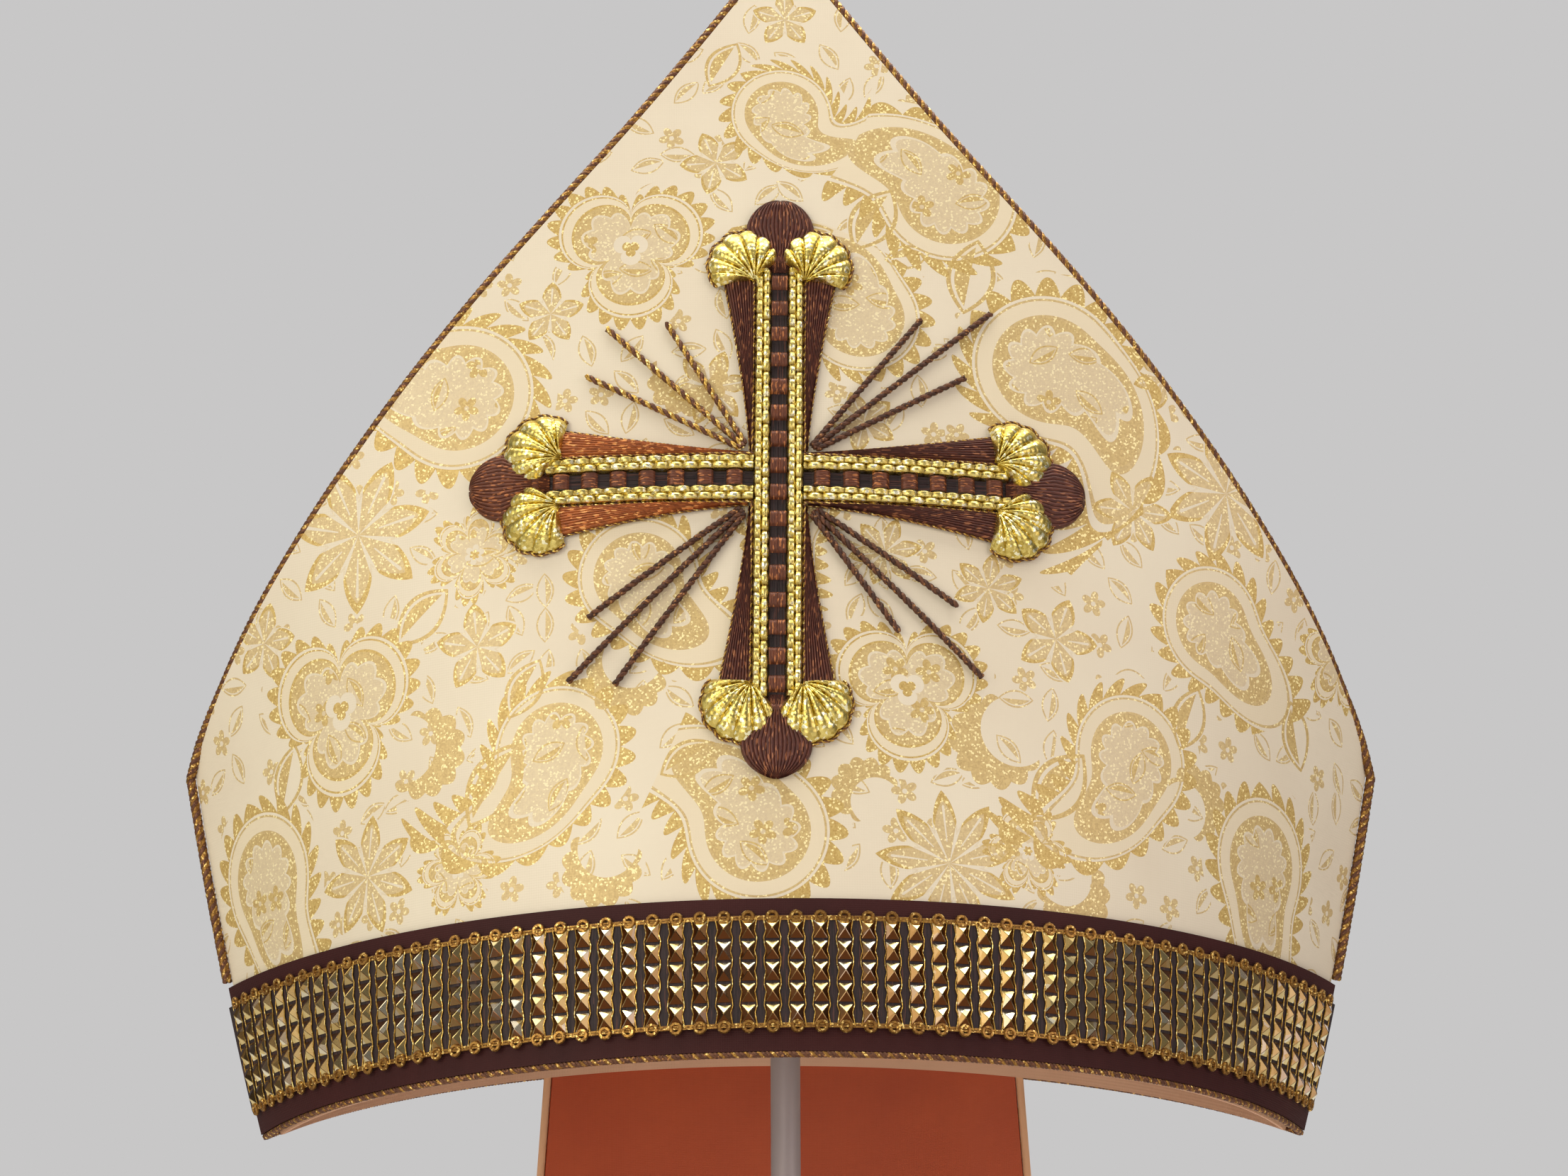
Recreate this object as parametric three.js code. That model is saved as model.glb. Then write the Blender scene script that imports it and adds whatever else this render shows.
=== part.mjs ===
// A bishop's mitre held up on a plain display stand.
// Two stiffened brocade horns are bent round the head opening, lean in towards each other as they rise
// and are sewn together at the sides up to the corners. A soft gusset folds down between them.
// Millimetres, +Z up, the wearer's face towards -Y. The origin is under the middle of the stand's foot.
import * as THREE from "three";
import { mergeVertices } from "three/addons/utils/BufferGeometryUtils.js";

// Horns
const headGirth = 585.6; // once round the outside of the rim
const rimBulge = 77; // how far the middle of a horn stands out from the side seams, at the rim
const leanDegrees = 12.3; // of a horn's middle line, in towards the other horn
const cornerUp = 79; // rim to side corner, up the horn
const cornerHalfGirth = 149.6; // from the middle line to a corner, round the bend
const hornUp = 256; // rim to tip, up the horn
const tipHalfWidth = 1;
const flatFrom = 0.85; // share of the way from corner to tip where the horn has lost its bend
const hornWall = 2.4;
const hornColumns = 22; // facets round a horn, and round all that is sewn to it
const seamGap = 0.3;
const clearance = 0.3; // between sewn pieces
const apart = 0.55; // between an embroidered piece and the cloth under it

// Free edge of a horn from corner to tip: share of the rise, and share of the corner's half girth
const hornEdge = [
  { rise: 0, reach: 1 },
  { rise: 0.25, reach: 0.722 },
  { rise: 0.5, reach: 0.469 },
  { rise: 0.75, reach: 0.222 },
  { rise: 1, reach: 0.008 },
];

// Gusset between the horns, and the tape round the inside of the rim
const gussetCloth = 1.1;
const gussetInset = 1.6; // from the horn's free edge
const gussetTopGap = 9; // from the horn's tip, down the horn
const foldHalfWidth = 2.2;
const hemTape = 0.8;
const hemUp = 12;

// Band: ribbon, braid of pyramid studs, cord under the ribbon's lower edge
const ribbonUp = 31.4;
const ribbonCloth = 0.7;
const studPitch = 4.8;
const studRows = 5;
const studRowPitch = 4.35;
const studRise = 1.5;
const braidBase = 0.4;
const braidFoot = 5.2; // rim to the lowest row
const rimCordRadius = 0.65;

// Twisted cord round the free edges and down the side seams
const edgeCordRadius = 1;
const cordSinks = 14; // past the corner, to where the cord lies level with the middle of the horn's wall
const tipTurn = { across: 2.2, above: 0.8, top: 2.4 }; // where the cord turns over a horn's tip

// Cross: half length, and its middle up the horn and across it
const crossReach = 66.8;
const crossUp = 124;
const crossAcross = -2.6;
const crossTiltDegrees = -0.95;
const railWidth = 3.6;
const railRise = 2.2;
const ladderWidth = 2.9;
const ladderRise = 1.4;
const pieceGap = 0.3;
const flareRise = 1.5;
const flareFoot = 9; // from the middle of the cross
const flareEnd = 46;
const flareFootHalf = 6.4;
const flareEndHalf = 12;
const scrollMiddle = 52.6; // from the middle of the cross to a gold scroll
const scrollAcross = 8;
const scrollLong = 6.1; // half length along the arm
const scrollWide = 7.1; // half width across it
const scrollRise = 3.4;
const knobRadius = 7.2;
const knobRise = 1.6;
const rayRadius = 0.6;

// Couched rays, in millimetres from the middle of the cross
const rays = [
  { name: "ne_inner", fromAcross: 8.6, fromUp: 10.3, toAcross: 30.9, toUp: 38.8 },
  { name: "ne_middle", fromAcross: 9.4, fromUp: 8.9, toAcross: 46.3, toUp: 41.3 },
  { name: "ne_outer", fromAcross: 11.4, fromUp: 8.2, toAcross: 40.4, toUp: 25.5 },
  { name: "nw_inner", fromAcross: -8.6, fromUp: 11.2, toAcross: -24.5, toUp: 36.7 },
  { name: "nw_middle", fromAcross: -9.4, fromUp: 9.4, toAcross: -37.5, toUp: 35.7 },
  { name: "nw_outer", fromAcross: -11.4, fromUp: 8.2, toAcross: -41.7, toUp: 24.5 },
  { name: "sw_outer", fromAcross: -11.4, fromUp: -8.2, toAcross: -39.8, toUp: -30.7 },
  { name: "sw_middle", fromAcross: -9.4, fromUp: -9.6, toAcross: -43.8, toUp: -44.6 },
  { name: "sw_inner", fromAcross: -8.6, fromUp: -11.6, toAcross: -33.8, toUp: -45.9 },
  { name: "se_outer", fromAcross: 11.4, fromUp: -8.2, toAcross: 38.1, toUp: -27.4 },
  { name: "se_middle", fromAcross: 9.4, fromUp: -9.6, toAcross: 43.2, toUp: -42.7 },
  { name: "se_inner", fromAcross: 8.6, fromUp: -11.6, toAcross: 25.5, toUp: -34 },
];

// Lappets that hang from the back of the rim
const lappetWidth = 57; // at the top
const lappetGap = 1.5;
const lappetShift = 1.6; // of both, to the right of the rim's middle
const lappetDrop = 330;
const lappetTopGap = 1.8; // under the back rim, clear of its cord
const lappetFlare = 0.067; // sideways for each millimetre down, on the outer edge
const lappetCloth = 1.6;
const liningCloth = 0.7;
const liningInset = 2;
const lappetFlatten = 0.75; // how much of its bend a lappet loses by its lower end

// Stand
const rimHeight = 400; // of the rim's front middle above the table
const footRadius = 100;
const footThick = 9;
const poleRadius = 3.3;
const padRadius = 42;
const padThick = 7;

const lean = THREE.MathUtils.degToRad(leanDegrees);
const rimHalfGirth = headGirth / 4;
const tapeFace = -hornWall - 2 * clearance;
const seamRows = evenly(0, cornerUp, 5);
const studColumns = Math.round(headGirth / 2 / studPitch);

const colours = {
  brocade: { color: 0xe2d2ac, roughness: 0.55, metalness: 0.1 },
  gold: { color: 0xb88a2c, roughness: 0.3, metalness: 0.9 },
  ribbon: { color: 0x3d1c18, roughness: 0.5, metalness: 0 },
  silk: { color: 0x4a2016, roughness: 0.5, metalness: 0 },
  lining: { color: 0xb04f24, roughness: 0.6, metalness: 0 },
  tape: { color: 0xd9bfa0, roughness: 0.8, metalness: 0 },
  steel: { color: 0x9a9595, roughness: 0.4, metalness: 0.6 },
};
const materials = Object.fromEntries(
  Object.entries(colours).map(([name, look]) => [name, new THREE.MeshStandardMaterial(look)]),
);

const mitre = new THREE.Group();
const stand = new THREE.Group();
mitre.position.z = rimHeight;

function addPiece(group, name, geometry, look) {
  const piece = new THREE.Mesh(geometry, materials[look]);
  piece.name = name;
  group.add(piece);
  return piece;
}

// Curvature of an arc whose half length and rise are known
function curvatureFor(halfLength, rise) {
  let flat = 0;
  let round = Math.PI / halfLength;
  for (let step = 0; step < 60; step++) {
    const middle = (flat + round) / 2;
    const reached = (1 - Math.cos(halfLength * middle)) / middle;
    if (reached > rise) round = middle;
    else flat = middle;
  }
  return (flat + round) / 2;
}

function halfGirthAt(up) {
  const share = Math.min(up / cornerUp, 1);
  return THREE.MathUtils.lerp(rimHalfGirth, cornerHalfGirth, share);
}

// The side seams stay in the plane between the horns, so a leaning horn bulges less as it rises
function bendAt(up) {
  const sewn = Math.min(up, cornerUp);
  const curvature = curvatureFor(halfGirthAt(sewn), rimBulge - sewn * Math.tan(lean));
  if (up <= cornerUp) return curvature;
  const rise = (up - cornerUp) / (hornUp - cornerUp);
  return curvature * Math.max(1 - rise / flatFrom, 0.002);
}

// Point of the front horn, from distances round its bend, up its middle line and out from its face
function onHorn(across, up, out = 0) {
  const bend = bendAt(up);
  const turn = across * bend;
  const depth = (1 - Math.cos(turn)) / bend - out * Math.cos(turn);
  return new THREE.Vector3(
    Math.sin(turn) / bend + out * Math.sin(turn),
    (depth - rimBulge) * Math.cos(lean) + up * Math.sin(lean),
    up * Math.cos(lean) - depth * Math.sin(lean),
  );
}

// Point of the corner where the two horns are sewn together, moved out along the corner
function onSeam(up, out) {
  const point = onHorn(halfGirthAt(up), up);
  point.x += out / Math.sin(halfGirthAt(up) * bendAt(up));
  point.y = 0;
  return point;
}

// Smooth curve through a table's share columns
function tableValue(table, input, output, at) {
  const last = table.length - 2;
  const row = Math.min(Math.max(table.findIndex((entry) => entry[input] >= at) - 1, 0), last);
  const before = table[Math.max(row - 1, 0)][output];
  const low = table[row][output];
  const high = table[row + 1][output];
  const after = table[Math.min(row + 2, table.length - 1)][output];
  const t = (at - table[row][input]) / (table[row + 1][input] - table[row][input]);
  const enter = row === 0 ? high - low : (high - before) / 2;
  const leave = row === last ? high - low : (after - low) / 2;
  const t2 = t * t;
  const t3 = t2 * t;
  return (
    (2 * t3 - 3 * t2 + 1) * low + (t3 - 2 * t2 + t) * enter + (3 * t2 - 2 * t3) * high + (t3 - t2) * leave
  );
}

// Half girth of the horn's outline at any height
function edgeAt(up) {
  if (up <= cornerUp) return halfGirthAt(up);
  const reach = tableValue(hornEdge, "rise", "reach", (up - cornerUp) / (hornUp - cornerUp));
  return Math.max(cornerHalfGirth * reach, tipHalfWidth);
}

// Closed solid from a grid of outer points and a grid of inner points, both indexed [row][column].
// Rows run up and columns run to the right, as seen from outside. A ring joins its last column to its first.
function clothSolid(outer, inner, ring = false) {
  const rows = outer.length;
  const columns = outer[0].length;
  const points = [...outer.flat(), ...inner.flat()];
  const innerStart = rows * columns;
  const faces = [];
  const quad = (a, b, c, d) => faces.push(a, b, c, a, c, d);
  const lastColumn = ring ? columns : columns - 1;
  for (let row = 0; row < rows - 1; row++) {
    for (let column = 0; column < lastColumn; column++) {
      const a = row * columns + column;
      const b = row * columns + ((column + 1) % columns);
      quad(a, b, b + columns, a + columns);
      const [c, d] = [innerStart + a, innerStart + b];
      quad(c, c + columns, d + columns, d);
    }
  }
  const top = (rows - 1) * columns;
  for (let column = 0; column < lastColumn; column++) {
    const next = (column + 1) % columns;
    quad(next, column, innerStart + column, innerStart + next);
    quad(top + column, top + next, innerStart + top + next, innerStart + top + column);
  }
  for (let row = 0; row < rows - 1 && !ring; row++) {
    const left = row * columns;
    const right = left + columns - 1;
    quad(left, left + columns, innerStart + left + columns, innerStart + left);
    quad(right + columns, right, innerStart + right, innerStart + right + columns);
  }
  return indexedGeometry(points, faces);
}

function indexedGeometry(points, faces) {
  const geometry = new THREE.BufferGeometry().setFromPoints(points);
  geometry.setIndex(faces);
  return geometry;
}

function grid(rows, columns, pointAt) {
  return rows.map((up) => columns.map((share) => pointAt(share, up)));
}

function evenly(low, high, steps) {
  return Array.from({ length: steps + 1 }, (_, step) => low + ((high - low) * step) / steps);
}

// One stiffened horn. Its inner face is cut back where it would cross the seam.
function hornPanel() {
  const rows = [...seamRows, ...evenly(cornerUp, hornUp, 8).slice(1, -1), hornUp - 11, hornUp];
  const columns = evenly(-1, 1, hornColumns);
  const face = (out) => (share, up) => {
    const point = onHorn(share * edgeAt(up), up, out);
    point.y = Math.min(point.y, -seamGap / 2);
    return point;
  };
  return clothSolid(grid(rows, columns, face(0)), grid(rows, columns, face(-hornWall)));
}

// One row of points right round the mitre, front then back, at a height and a distance out from the horns
function roundRow(up, out, perHorn) {
  const front = evenly(-1, 1, perHorn).slice(1, -1);
  const half = front.map((share) => onHorn(share * halfGirthAt(up), up, out));
  const seam = onSeam(up, out);
  const behind = (point) => new THREE.Vector3(-point.x, -point.y, point.z);
  return [behind(seam), ...half, seam, ...half.map(behind)];
}

// Band round the rim, between two distances out, with a row of facets at every row of the horns
function roundBand(low, high, inside, outside) {
  const heights = [low, ...seamRows.filter((up) => up > low && up < high), high];
  const wall = (out) => heights.map((up) => roundRow(up, out, hornColumns));
  return clothSolid(wall(outside), wall(inside), true);
}

// Braid: a thin base right round the rim, with a pyramid over every cell of its outer face
function studBraid() {
  const base = clearance + ribbonCloth + clearance;
  const face = base + braidBase;
  const heights = evenly(braidFoot, braidFoot + studRows * studRowPitch, studRows);
  const outer = heights.map((up) => roundRow(up, face, studColumns));
  const inner = [heights[0], heights[studRows]].map((up) => roundRow(up, base, studColumns));
  const columns = outer[0].length;
  const points = [...outer.flat(), ...inner.flat()];
  const innerStart = outer.length * columns;
  const faces = [];
  for (let column = 0; column < columns; column++) {
    const next = (column + 1) % columns;
    for (let row = 0; row < studRows; row++) {
      const ring = [
        row * columns + column,
        row * columns + next,
        (row + 1) * columns + next,
        (row + 1) * columns + column,
      ];
      const middle = ring.reduce((sum, id) => sum.add(points[id]), new THREE.Vector3()).divideScalar(4);
      const across = points[ring[1]].clone().sub(points[ring[0]]);
      const up = points[ring[3]].clone().sub(points[ring[0]]);
      const peak = points.push(middle.addScaledVector(across.cross(up).normalize(), studRise)) - 1;
      ring.forEach((id, side) => faces.push(id, ring[(side + 1) % 4], peak));
    }
    const top = studRows * columns;
    const low = innerStart;
    const high = innerStart + columns;
    faces.push(low + next, low + column, high + column, low + next, high + column, high + next);
    faces.push(next, column, low + column, next, low + column, low + next);
    faces.push(top + column, top + next, high + next, top + column, high + next, high + column);
  }
  return indexedGeometry(points, faces);
}

// Round cord through a line of points, as a closed solid
// Each section is turned as little as possible from the last
function cordAlong(points, radius, sides = 6) {
  const rings = [];
  let level = null;
  points.forEach((point, at) => {
    const before = points[Math.max(at - 1, 0)];
    const after = points[Math.min(at + 1, points.length - 1)];
    const along = after.clone().sub(before).normalize();
    if (!level) level = new THREE.Vector3(0, 0, 1).cross(along).normalize();
    level.addScaledVector(along, -level.dot(along)).normalize();
    const upright = along.clone().cross(level);
    const section = evenly(0, 2 * Math.PI, sides).slice(0, -1);
    rings.push(
      section.map((turn) =>
        point
          .clone()
          .addScaledVector(level, radius * Math.cos(turn))
          .addScaledVector(upright, radius * Math.sin(turn)),
      ),
    );
  });
  const faces = [];
  for (let ring = 0; ring < rings.length - 1; ring++) {
    for (let side = 0; side < sides; side++) {
      const [a, b] = [ring * sides + side, ring * sides + ((side + 1) % sides)];
      faces.push(a, b, b + sides, a, b + sides, a + sides);
    }
  }
  const end = (rings.length - 1) * sides;
  for (let side = 1; side < sides - 1; side++) {
    faces.push(0, side + 1, side, end, end + side, end + side + 1);
  }
  return indexedGeometry(rings.flat(), faces);
}

// Centre of a cord sewn against a horn's free edge
function besideEdge(up, side) {
  const slope = (edgeAt(up + 1) - edgeAt(up - 1)) / 2;
  const off = (2 * clearance + edgeCordRadius) / Math.hypot(1, slope);
  const sunk = Math.min((up - cornerUp) / cordSinks, 1) * (hornWall / 2);
  return onHorn(side * (edgeAt(up) + off), up - off * slope, -sunk);
}

// Centre of the cord that covers a side seam
function overSeam(up, side) {
  const point = onSeam(up, clearance + edgeCordRadius);
  point.x *= side;
  return point;
}

// Cord along both free edges of a horn and over its tip, after a run of points up each side
function cordOverTip(sidePoints, edgeStart) {
  const edgeUps = evenly(edgeStart, hornUp - 2 * edgeCordRadius, 16);
  const half = (side) => [
    ...sidePoints(side),
    ...edgeUps.map((up) => besideEdge(up, side)),
    onHorn(side * tipTurn.across, hornUp + tipTurn.above, -hornWall / 2),
  ];
  const top = onHorn(0, hornUp + tipTurn.top, -hornWall / 2);
  return cordAlong([...half(-1), top, ...half(1).reverse()], edgeCordRadius);
}

// The front cord also covers both side seams down to the ribbon
function frontCord() {
  const seamUps = evenly(ribbonUp + clearance + edgeCordRadius, cornerUp - 2 * edgeCordRadius, 4);
  return cordOverTip((side) => seamUps.map((up) => overSeam(up, side)), cornerUp + 4 * edgeCordRadius);
}

function backCord() {
  return cordOverTip(() => [], cornerUp + 10 * edgeCordRadius);
}

// Half of the thin cord under the ribbon's lower edge
function rimCord() {
  const out = clearance + ribbonCloth / 2;
  const down = -(clearance + rimCordRadius);
  const reach = rimHalfGirth - clearance;
  const line = evenly(-reach, reach, 24).map((across) => onHorn(across, down, out));
  return cordAlong(line, rimCordRadius, 5);
}

// Point on one edge of the gusset, inside the front horn's free edge
function gussetEdge(up) {
  const edge = onHorn(edgeAt(up) - gussetInset, up, -(hornWall + 2 * clearance + gussetCloth));
  edge.y = Math.min(edge.y, -foldHalfWidth);
  return edge;
}

// Height of the cloth's middle layer along the fold, above the rim
function foldHeight() {
  return gussetEdge(cornerUp).z - foldHalfWidth / 2;
}

// Gusset: one cloth from tip to tip, straight across each horn from edge to edge, folded down between them
function gussetPiece() {
  const topUp = hornUp - gussetTopGap;
  const rises = evenly(0, 1, 9).map((share) => share ** 1.5);
  const flank = rises.map((share) => gussetEdge(THREE.MathUtils.lerp(cornerUp, topUp, share)));
  flank[0].x = onSeam(cornerUp, -hornWall - gussetCloth).x - foldHalfWidth;
  const fold = flank[0].clone();
  fold.y = 0;
  fold.z = foldHeight();
  const farFlank = flank.map((point) => new THREE.Vector3(point.x, -point.y, point.z));
  const line = [...[...flank].reverse(), fold, ...farFlank];
  const columns = evenly(-1, 1, 6);
  const side = (sign) =>
    line.map((point, row) => {
      const before = line[Math.max(row - 1, 0)];
      const after = line[Math.min(row + 1, line.length - 1)];
      const along = new THREE.Vector2(after.y - before.y, after.z - before.z).normalize();
      const shift = (sign * gussetCloth) / 2;
      return columns.map(
        (share) => new THREE.Vector3(share * point.x, point.y - along.y * shift, point.z + along.x * shift),
      );
    });
  return clothSolid(side(1), side(-1));
}

// Turns flat distances from the middle of the cross into a point over the front horn
function onCross(across, up, out) {
  const tilt = THREE.MathUtils.degToRad(crossTiltDegrees);
  const flat = new THREE.Vector2(across, up).rotateAround(new THREE.Vector2(), tilt);
  return onHorn(crossAcross + flat.x, crossUp + flat.y, apart + out);
}

// Turns a point drawn for the top arm to another arm, by quarter turns, and lays it over the horn
function onArm(quarters, across, along, out) {
  const flat = new THREE.Vector2(across, along).rotateAround(new THREE.Vector2(), (quarters * Math.PI) / 2);
  return onCross(flat.x, flat.y, out);
}

// Strip of embroidery along an arm, from rows of how far along it and of the strip's two edges across it
function stripOn(quarters, rows, rise) {
  const layer = (out) =>
    rows.map((row) => row.edges.map((across) => onArm(quarters, across, row.along, out)));
  return clothSolid(layer(rise), layer(0));
}

const armNames = ["top", "left", "bottom", "right"];
const railHalf = ladderWidth / 2 + pieceGap + railWidth;

// Rows of the silk flare beside the rails of one arm: narrow at the middle of the cross, wide at the scrolls
function flareRows(side) {
  const inside = railHalf + pieceGap;
  return evenly(0, 1, 7).map((share) => {
    const outside = THREE.MathUtils.lerp(flareFootHalf, flareEndHalf, share ** 1.4);
    return {
      along: THREE.MathUtils.lerp(flareFoot, flareEnd, share),
      edges: side > 0 ? [inside, outside] : [-outside, -inside],
    };
  });
}

function straightRows(low, high, from, to, steps) {
  return evenly(from, to, steps).map((along) => ({ along, edges: [low, high] }));
}

// Rows of the silk knob past the scrolls: the round end of the arm
function knobRows() {
  const foot = scrollMiddle + scrollLong + pieceGap;
  const middle = crossReach - knobRadius;
  const start = Math.asin((foot - middle) / knobRadius);
  return evenly(start, 0.95 * (Math.PI / 2), 6).map((turn) => {
    const half = knobRadius * Math.cos(turn);
    return { along: middle + knobRadius * Math.sin(turn), edges: [-half, half] };
  });
}

// Gold scroll: a dome of half-ellipse sections over an oval, with a flat foot
function scrollDome(side, quarters) {
  const dome = new THREE.SphereGeometry(1, 10, 4, 0, Math.PI * 2, 0, Math.PI / 2);
  const foot = new THREE.CircleGeometry(1, 10).rotateX(Math.PI / 2);
  const points = [];
  const faces = [];
  for (const part of [dome, foot]) {
    const start = points.length;
    const place = part.getAttribute("position");
    for (let id = 0; id < place.count; id++) {
      const across = side * scrollAcross + place.getX(id) * scrollWide;
      const along = scrollMiddle + place.getZ(id) * scrollLong;
      points.push(onArm(quarters, across, along, place.getY(id) * scrollRise));
    }
    for (let corner = 0; corner < part.index.count; corner += 3) {
      const [a, b, c] = [0, 1, 2].map((step) => start + part.index.getX(corner + step));
      faces.push(a, c, b);
    }
  }
  return mergeVertices(indexedGeometry(points, faces), 1e-4);
}

function addCross() {
  armNames.forEach((arm, quarters) => {
    for (const [hand, side] of [["a", 1], ["b", -1]]) {
      addPiece(mitre, `flare_${arm}_${hand}`, stripOn(quarters, flareRows(side), flareRise), "silk");
      addPiece(mitre, `scroll_${arm}_${hand}`, scrollDome(side, quarters), "gold");
    }
    addPiece(mitre, `knob_${arm}`, stripOn(quarters, knobRows(), knobRise), "silk");
  });
  const railInside = ladderWidth / 2 + pieceGap;
  const railEnd = scrollMiddle - scrollLong - pieceGap;
  const addBars = (arm, quarters, start, steps) => {
    const bar = (low, high, rise) => stripOn(quarters, straightRows(low, high, start, railEnd, steps), rise);
    addPiece(mitre, `rail_${arm}_a`, bar(railInside, railHalf, railRise), "gold");
    addPiece(mitre, `rail_${arm}_b`, bar(-railHalf, -railInside, railRise), "gold");
    addPiece(mitre, `ladder_${arm}`, bar(-ladderWidth / 2, ladderWidth / 2, ladderRise), "silk");
  };
  addBars("upright", 0, -railEnd, 12);
  addBars("left", 1, railHalf + pieceGap, 6);
  addBars("right", 3, railHalf + pieceGap, 6);
  for (const ray of rays) {
    const line = evenly(0, 1, 4).map((share) =>
      onCross(
        THREE.MathUtils.lerp(ray.fromAcross, ray.toAcross, share),
        THREE.MathUtils.lerp(ray.fromUp, ray.toUp, share),
        rayRadius,
      ),
    );
    addPiece(mitre, `ray_${ray.name}`, cordAlong(line, rayRadius, 5), "silk");
  }
}

// One layer of a lappet, between two distances in from the face that shows behind
function lappetLayer(side, near, far, inset) {
  const drops = evenly(0, 1, 8).map((share) => share * (lappetDrop - lappetTopGap - inset) + lappetTopGap);
  const layer = (depth) =>
    [...drops].reverse().map((drop) => {
      const insideEdge = lappetGap / 2 + side * lappetShift + inset;
      const outsideEdge = insideEdge + lappetWidth + drop * lappetFlare - 2 * inset;
      const bendLeft = 1 - lappetFlatten * (drop / lappetDrop);
      return evenly(insideEdge, outsideEdge, 3).map((across) => {
        const rim = onHorn(Math.min(across, rimHalfGirth), 0, -depth);
        const middle = onHorn(0, 0, -depth);
        const curve = (rim.y - middle.y) * bendLeft;
        return new THREE.Vector3(across, -(middle.y + curve), rim.z - drop);
      });
    });
  const mirrored = (rows) =>
    rows.map((row) => row.map((point) => new THREE.Vector3(-point.x, point.y, point.z)).reverse());
  const behind = layer(near).map((row) => [...row].reverse());
  const ahead = layer(far).map((row) => [...row].reverse());
  return side > 0 ? clothSolid(behind, ahead) : clothSolid(mirrored(behind), mirrored(ahead));
}

function addLappets() {
  for (const [hand, side] of [["left", -1], ["right", 1]]) {
    const start = 0.4;
    const seam = start + lappetCloth;
    addPiece(mitre, `lappet_${hand}`, lappetLayer(side, start, seam, 0), "brocade");
    addPiece(
      mitre,
      `lappet_lining_${hand}`,
      lappetLayer(side, seam + clearance, seam + clearance + liningCloth, liningInset),
      "lining",
    );
  }
}

// Stand: foot, pole, and the pad under the gusset's fold
function addStand() {
  const foot = new THREE.LatheGeometry(
    [
      new THREE.Vector2(0, 0),
      new THREE.Vector2(footRadius, 0),
      new THREE.Vector2(footRadius, footThick * 0.6),
      new THREE.Vector2(footRadius - footThick * 0.4, footThick),
      new THREE.Vector2(0, footThick),
    ],
    48,
  );
  addPiece(stand, "stand_foot", foot.rotateX(Math.PI / 2), "steel");
  const padTop = rimHeight + foldHeight() - gussetCloth / 2 - clearance;
  const poleTop = padTop - padThick - clearance;
  const poleFoot = footThick + clearance;
  const pole = new THREE.CylinderGeometry(poleRadius, poleRadius, poleTop - poleFoot, 16);
  pole.rotateX(Math.PI / 2).translate(0, 0, (poleTop + poleFoot) / 2);
  addPiece(stand, "stand_pole", pole, "steel");
  const pad = new THREE.CylinderGeometry(padRadius, padRadius, padThick, 32);
  pad.rotateX(Math.PI / 2).translate(0, 0, padTop - padThick / 2);
  addPiece(stand, "stand_pad", pad, "steel");
}

addPiece(mitre, "horn_front", hornPanel(), "brocade");
addPiece(mitre, "horn_back", hornPanel(), "brocade").rotation.z = Math.PI;
addPiece(mitre, "gusset", gussetPiece(), "lining");
addPiece(mitre, "hem_tape", roundBand(0, hemUp, tapeFace - hemTape, tapeFace), "tape");
addPiece(mitre, "ribbon", roundBand(0, ribbonUp, clearance, clearance + ribbonCloth), "ribbon");
addPiece(mitre, "stud_braid", studBraid(), "gold");
addPiece(mitre, "edge_cord_front", frontCord(), "gold");
addPiece(mitre, "edge_cord_back", backCord(), "gold").rotation.z = Math.PI;
addPiece(mitre, "rim_cord_front", rimCord(), "gold");
addPiece(mitre, "rim_cord_back", rimCord(), "gold").rotation.z = Math.PI;
addCross();
addLappets();
addStand();

const whole = new THREE.Group();
whole.add(mitre, stand);
export default whole;
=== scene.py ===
import bpy
import math
from mathutils import Matrix, Vector


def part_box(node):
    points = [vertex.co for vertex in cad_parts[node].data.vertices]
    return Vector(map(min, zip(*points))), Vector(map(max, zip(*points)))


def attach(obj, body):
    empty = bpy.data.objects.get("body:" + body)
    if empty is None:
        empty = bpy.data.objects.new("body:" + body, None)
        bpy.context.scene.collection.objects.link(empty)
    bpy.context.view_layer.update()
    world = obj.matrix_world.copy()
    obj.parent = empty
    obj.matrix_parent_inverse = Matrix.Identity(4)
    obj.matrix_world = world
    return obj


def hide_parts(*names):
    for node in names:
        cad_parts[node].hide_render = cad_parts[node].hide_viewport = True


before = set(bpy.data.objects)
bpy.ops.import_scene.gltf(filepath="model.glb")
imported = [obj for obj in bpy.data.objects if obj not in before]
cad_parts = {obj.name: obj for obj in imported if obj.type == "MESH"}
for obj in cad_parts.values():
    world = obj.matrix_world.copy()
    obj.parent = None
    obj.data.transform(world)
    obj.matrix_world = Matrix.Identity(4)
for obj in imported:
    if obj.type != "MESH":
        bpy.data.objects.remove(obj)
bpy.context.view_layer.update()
bpy.ops.object.select_all(action="DESELECT")
print("stage: the CAD model is loaded")

# The mitre's own sizes, in millimetres, the same as in the CAD model
mitre = {
    "rimHalfGirth": 146.4,
    "rimBulge": 77.0,
    "lean": math.radians(12.3),
    "cornerUp": 79.0,
    "cornerHalfGirth": 149.6,
    "hornUp": 256.0,
    "flatFrom": 0.85,
    "leastBend": 0.002,
    "wall": 2.4,
    "tipHalfWidth": 1.0,
    "edge": [1.0, 0.722, 0.469, 0.222, 0.008],
    "rimHeight": 400.0,
    "ribbonUp": 31.4,
    "lowestShare": -0.1,
}
bends = {}
halvings = 40


# Bend of a strip, so many millimetres long from its middle, that bulges by the rise asked for
def curvatureFor(halfLength, rise):
    flattest, roundest = 0.0, math.pi / halfLength
    for _ in range(halvings):
        middle = (flattest + roundest) / 2
        if (1 - math.cos(halfLength * middle)) / middle > rise:
            roundest = middle
        else:
            flattest = middle
    return (flattest + roundest) / 2


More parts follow.
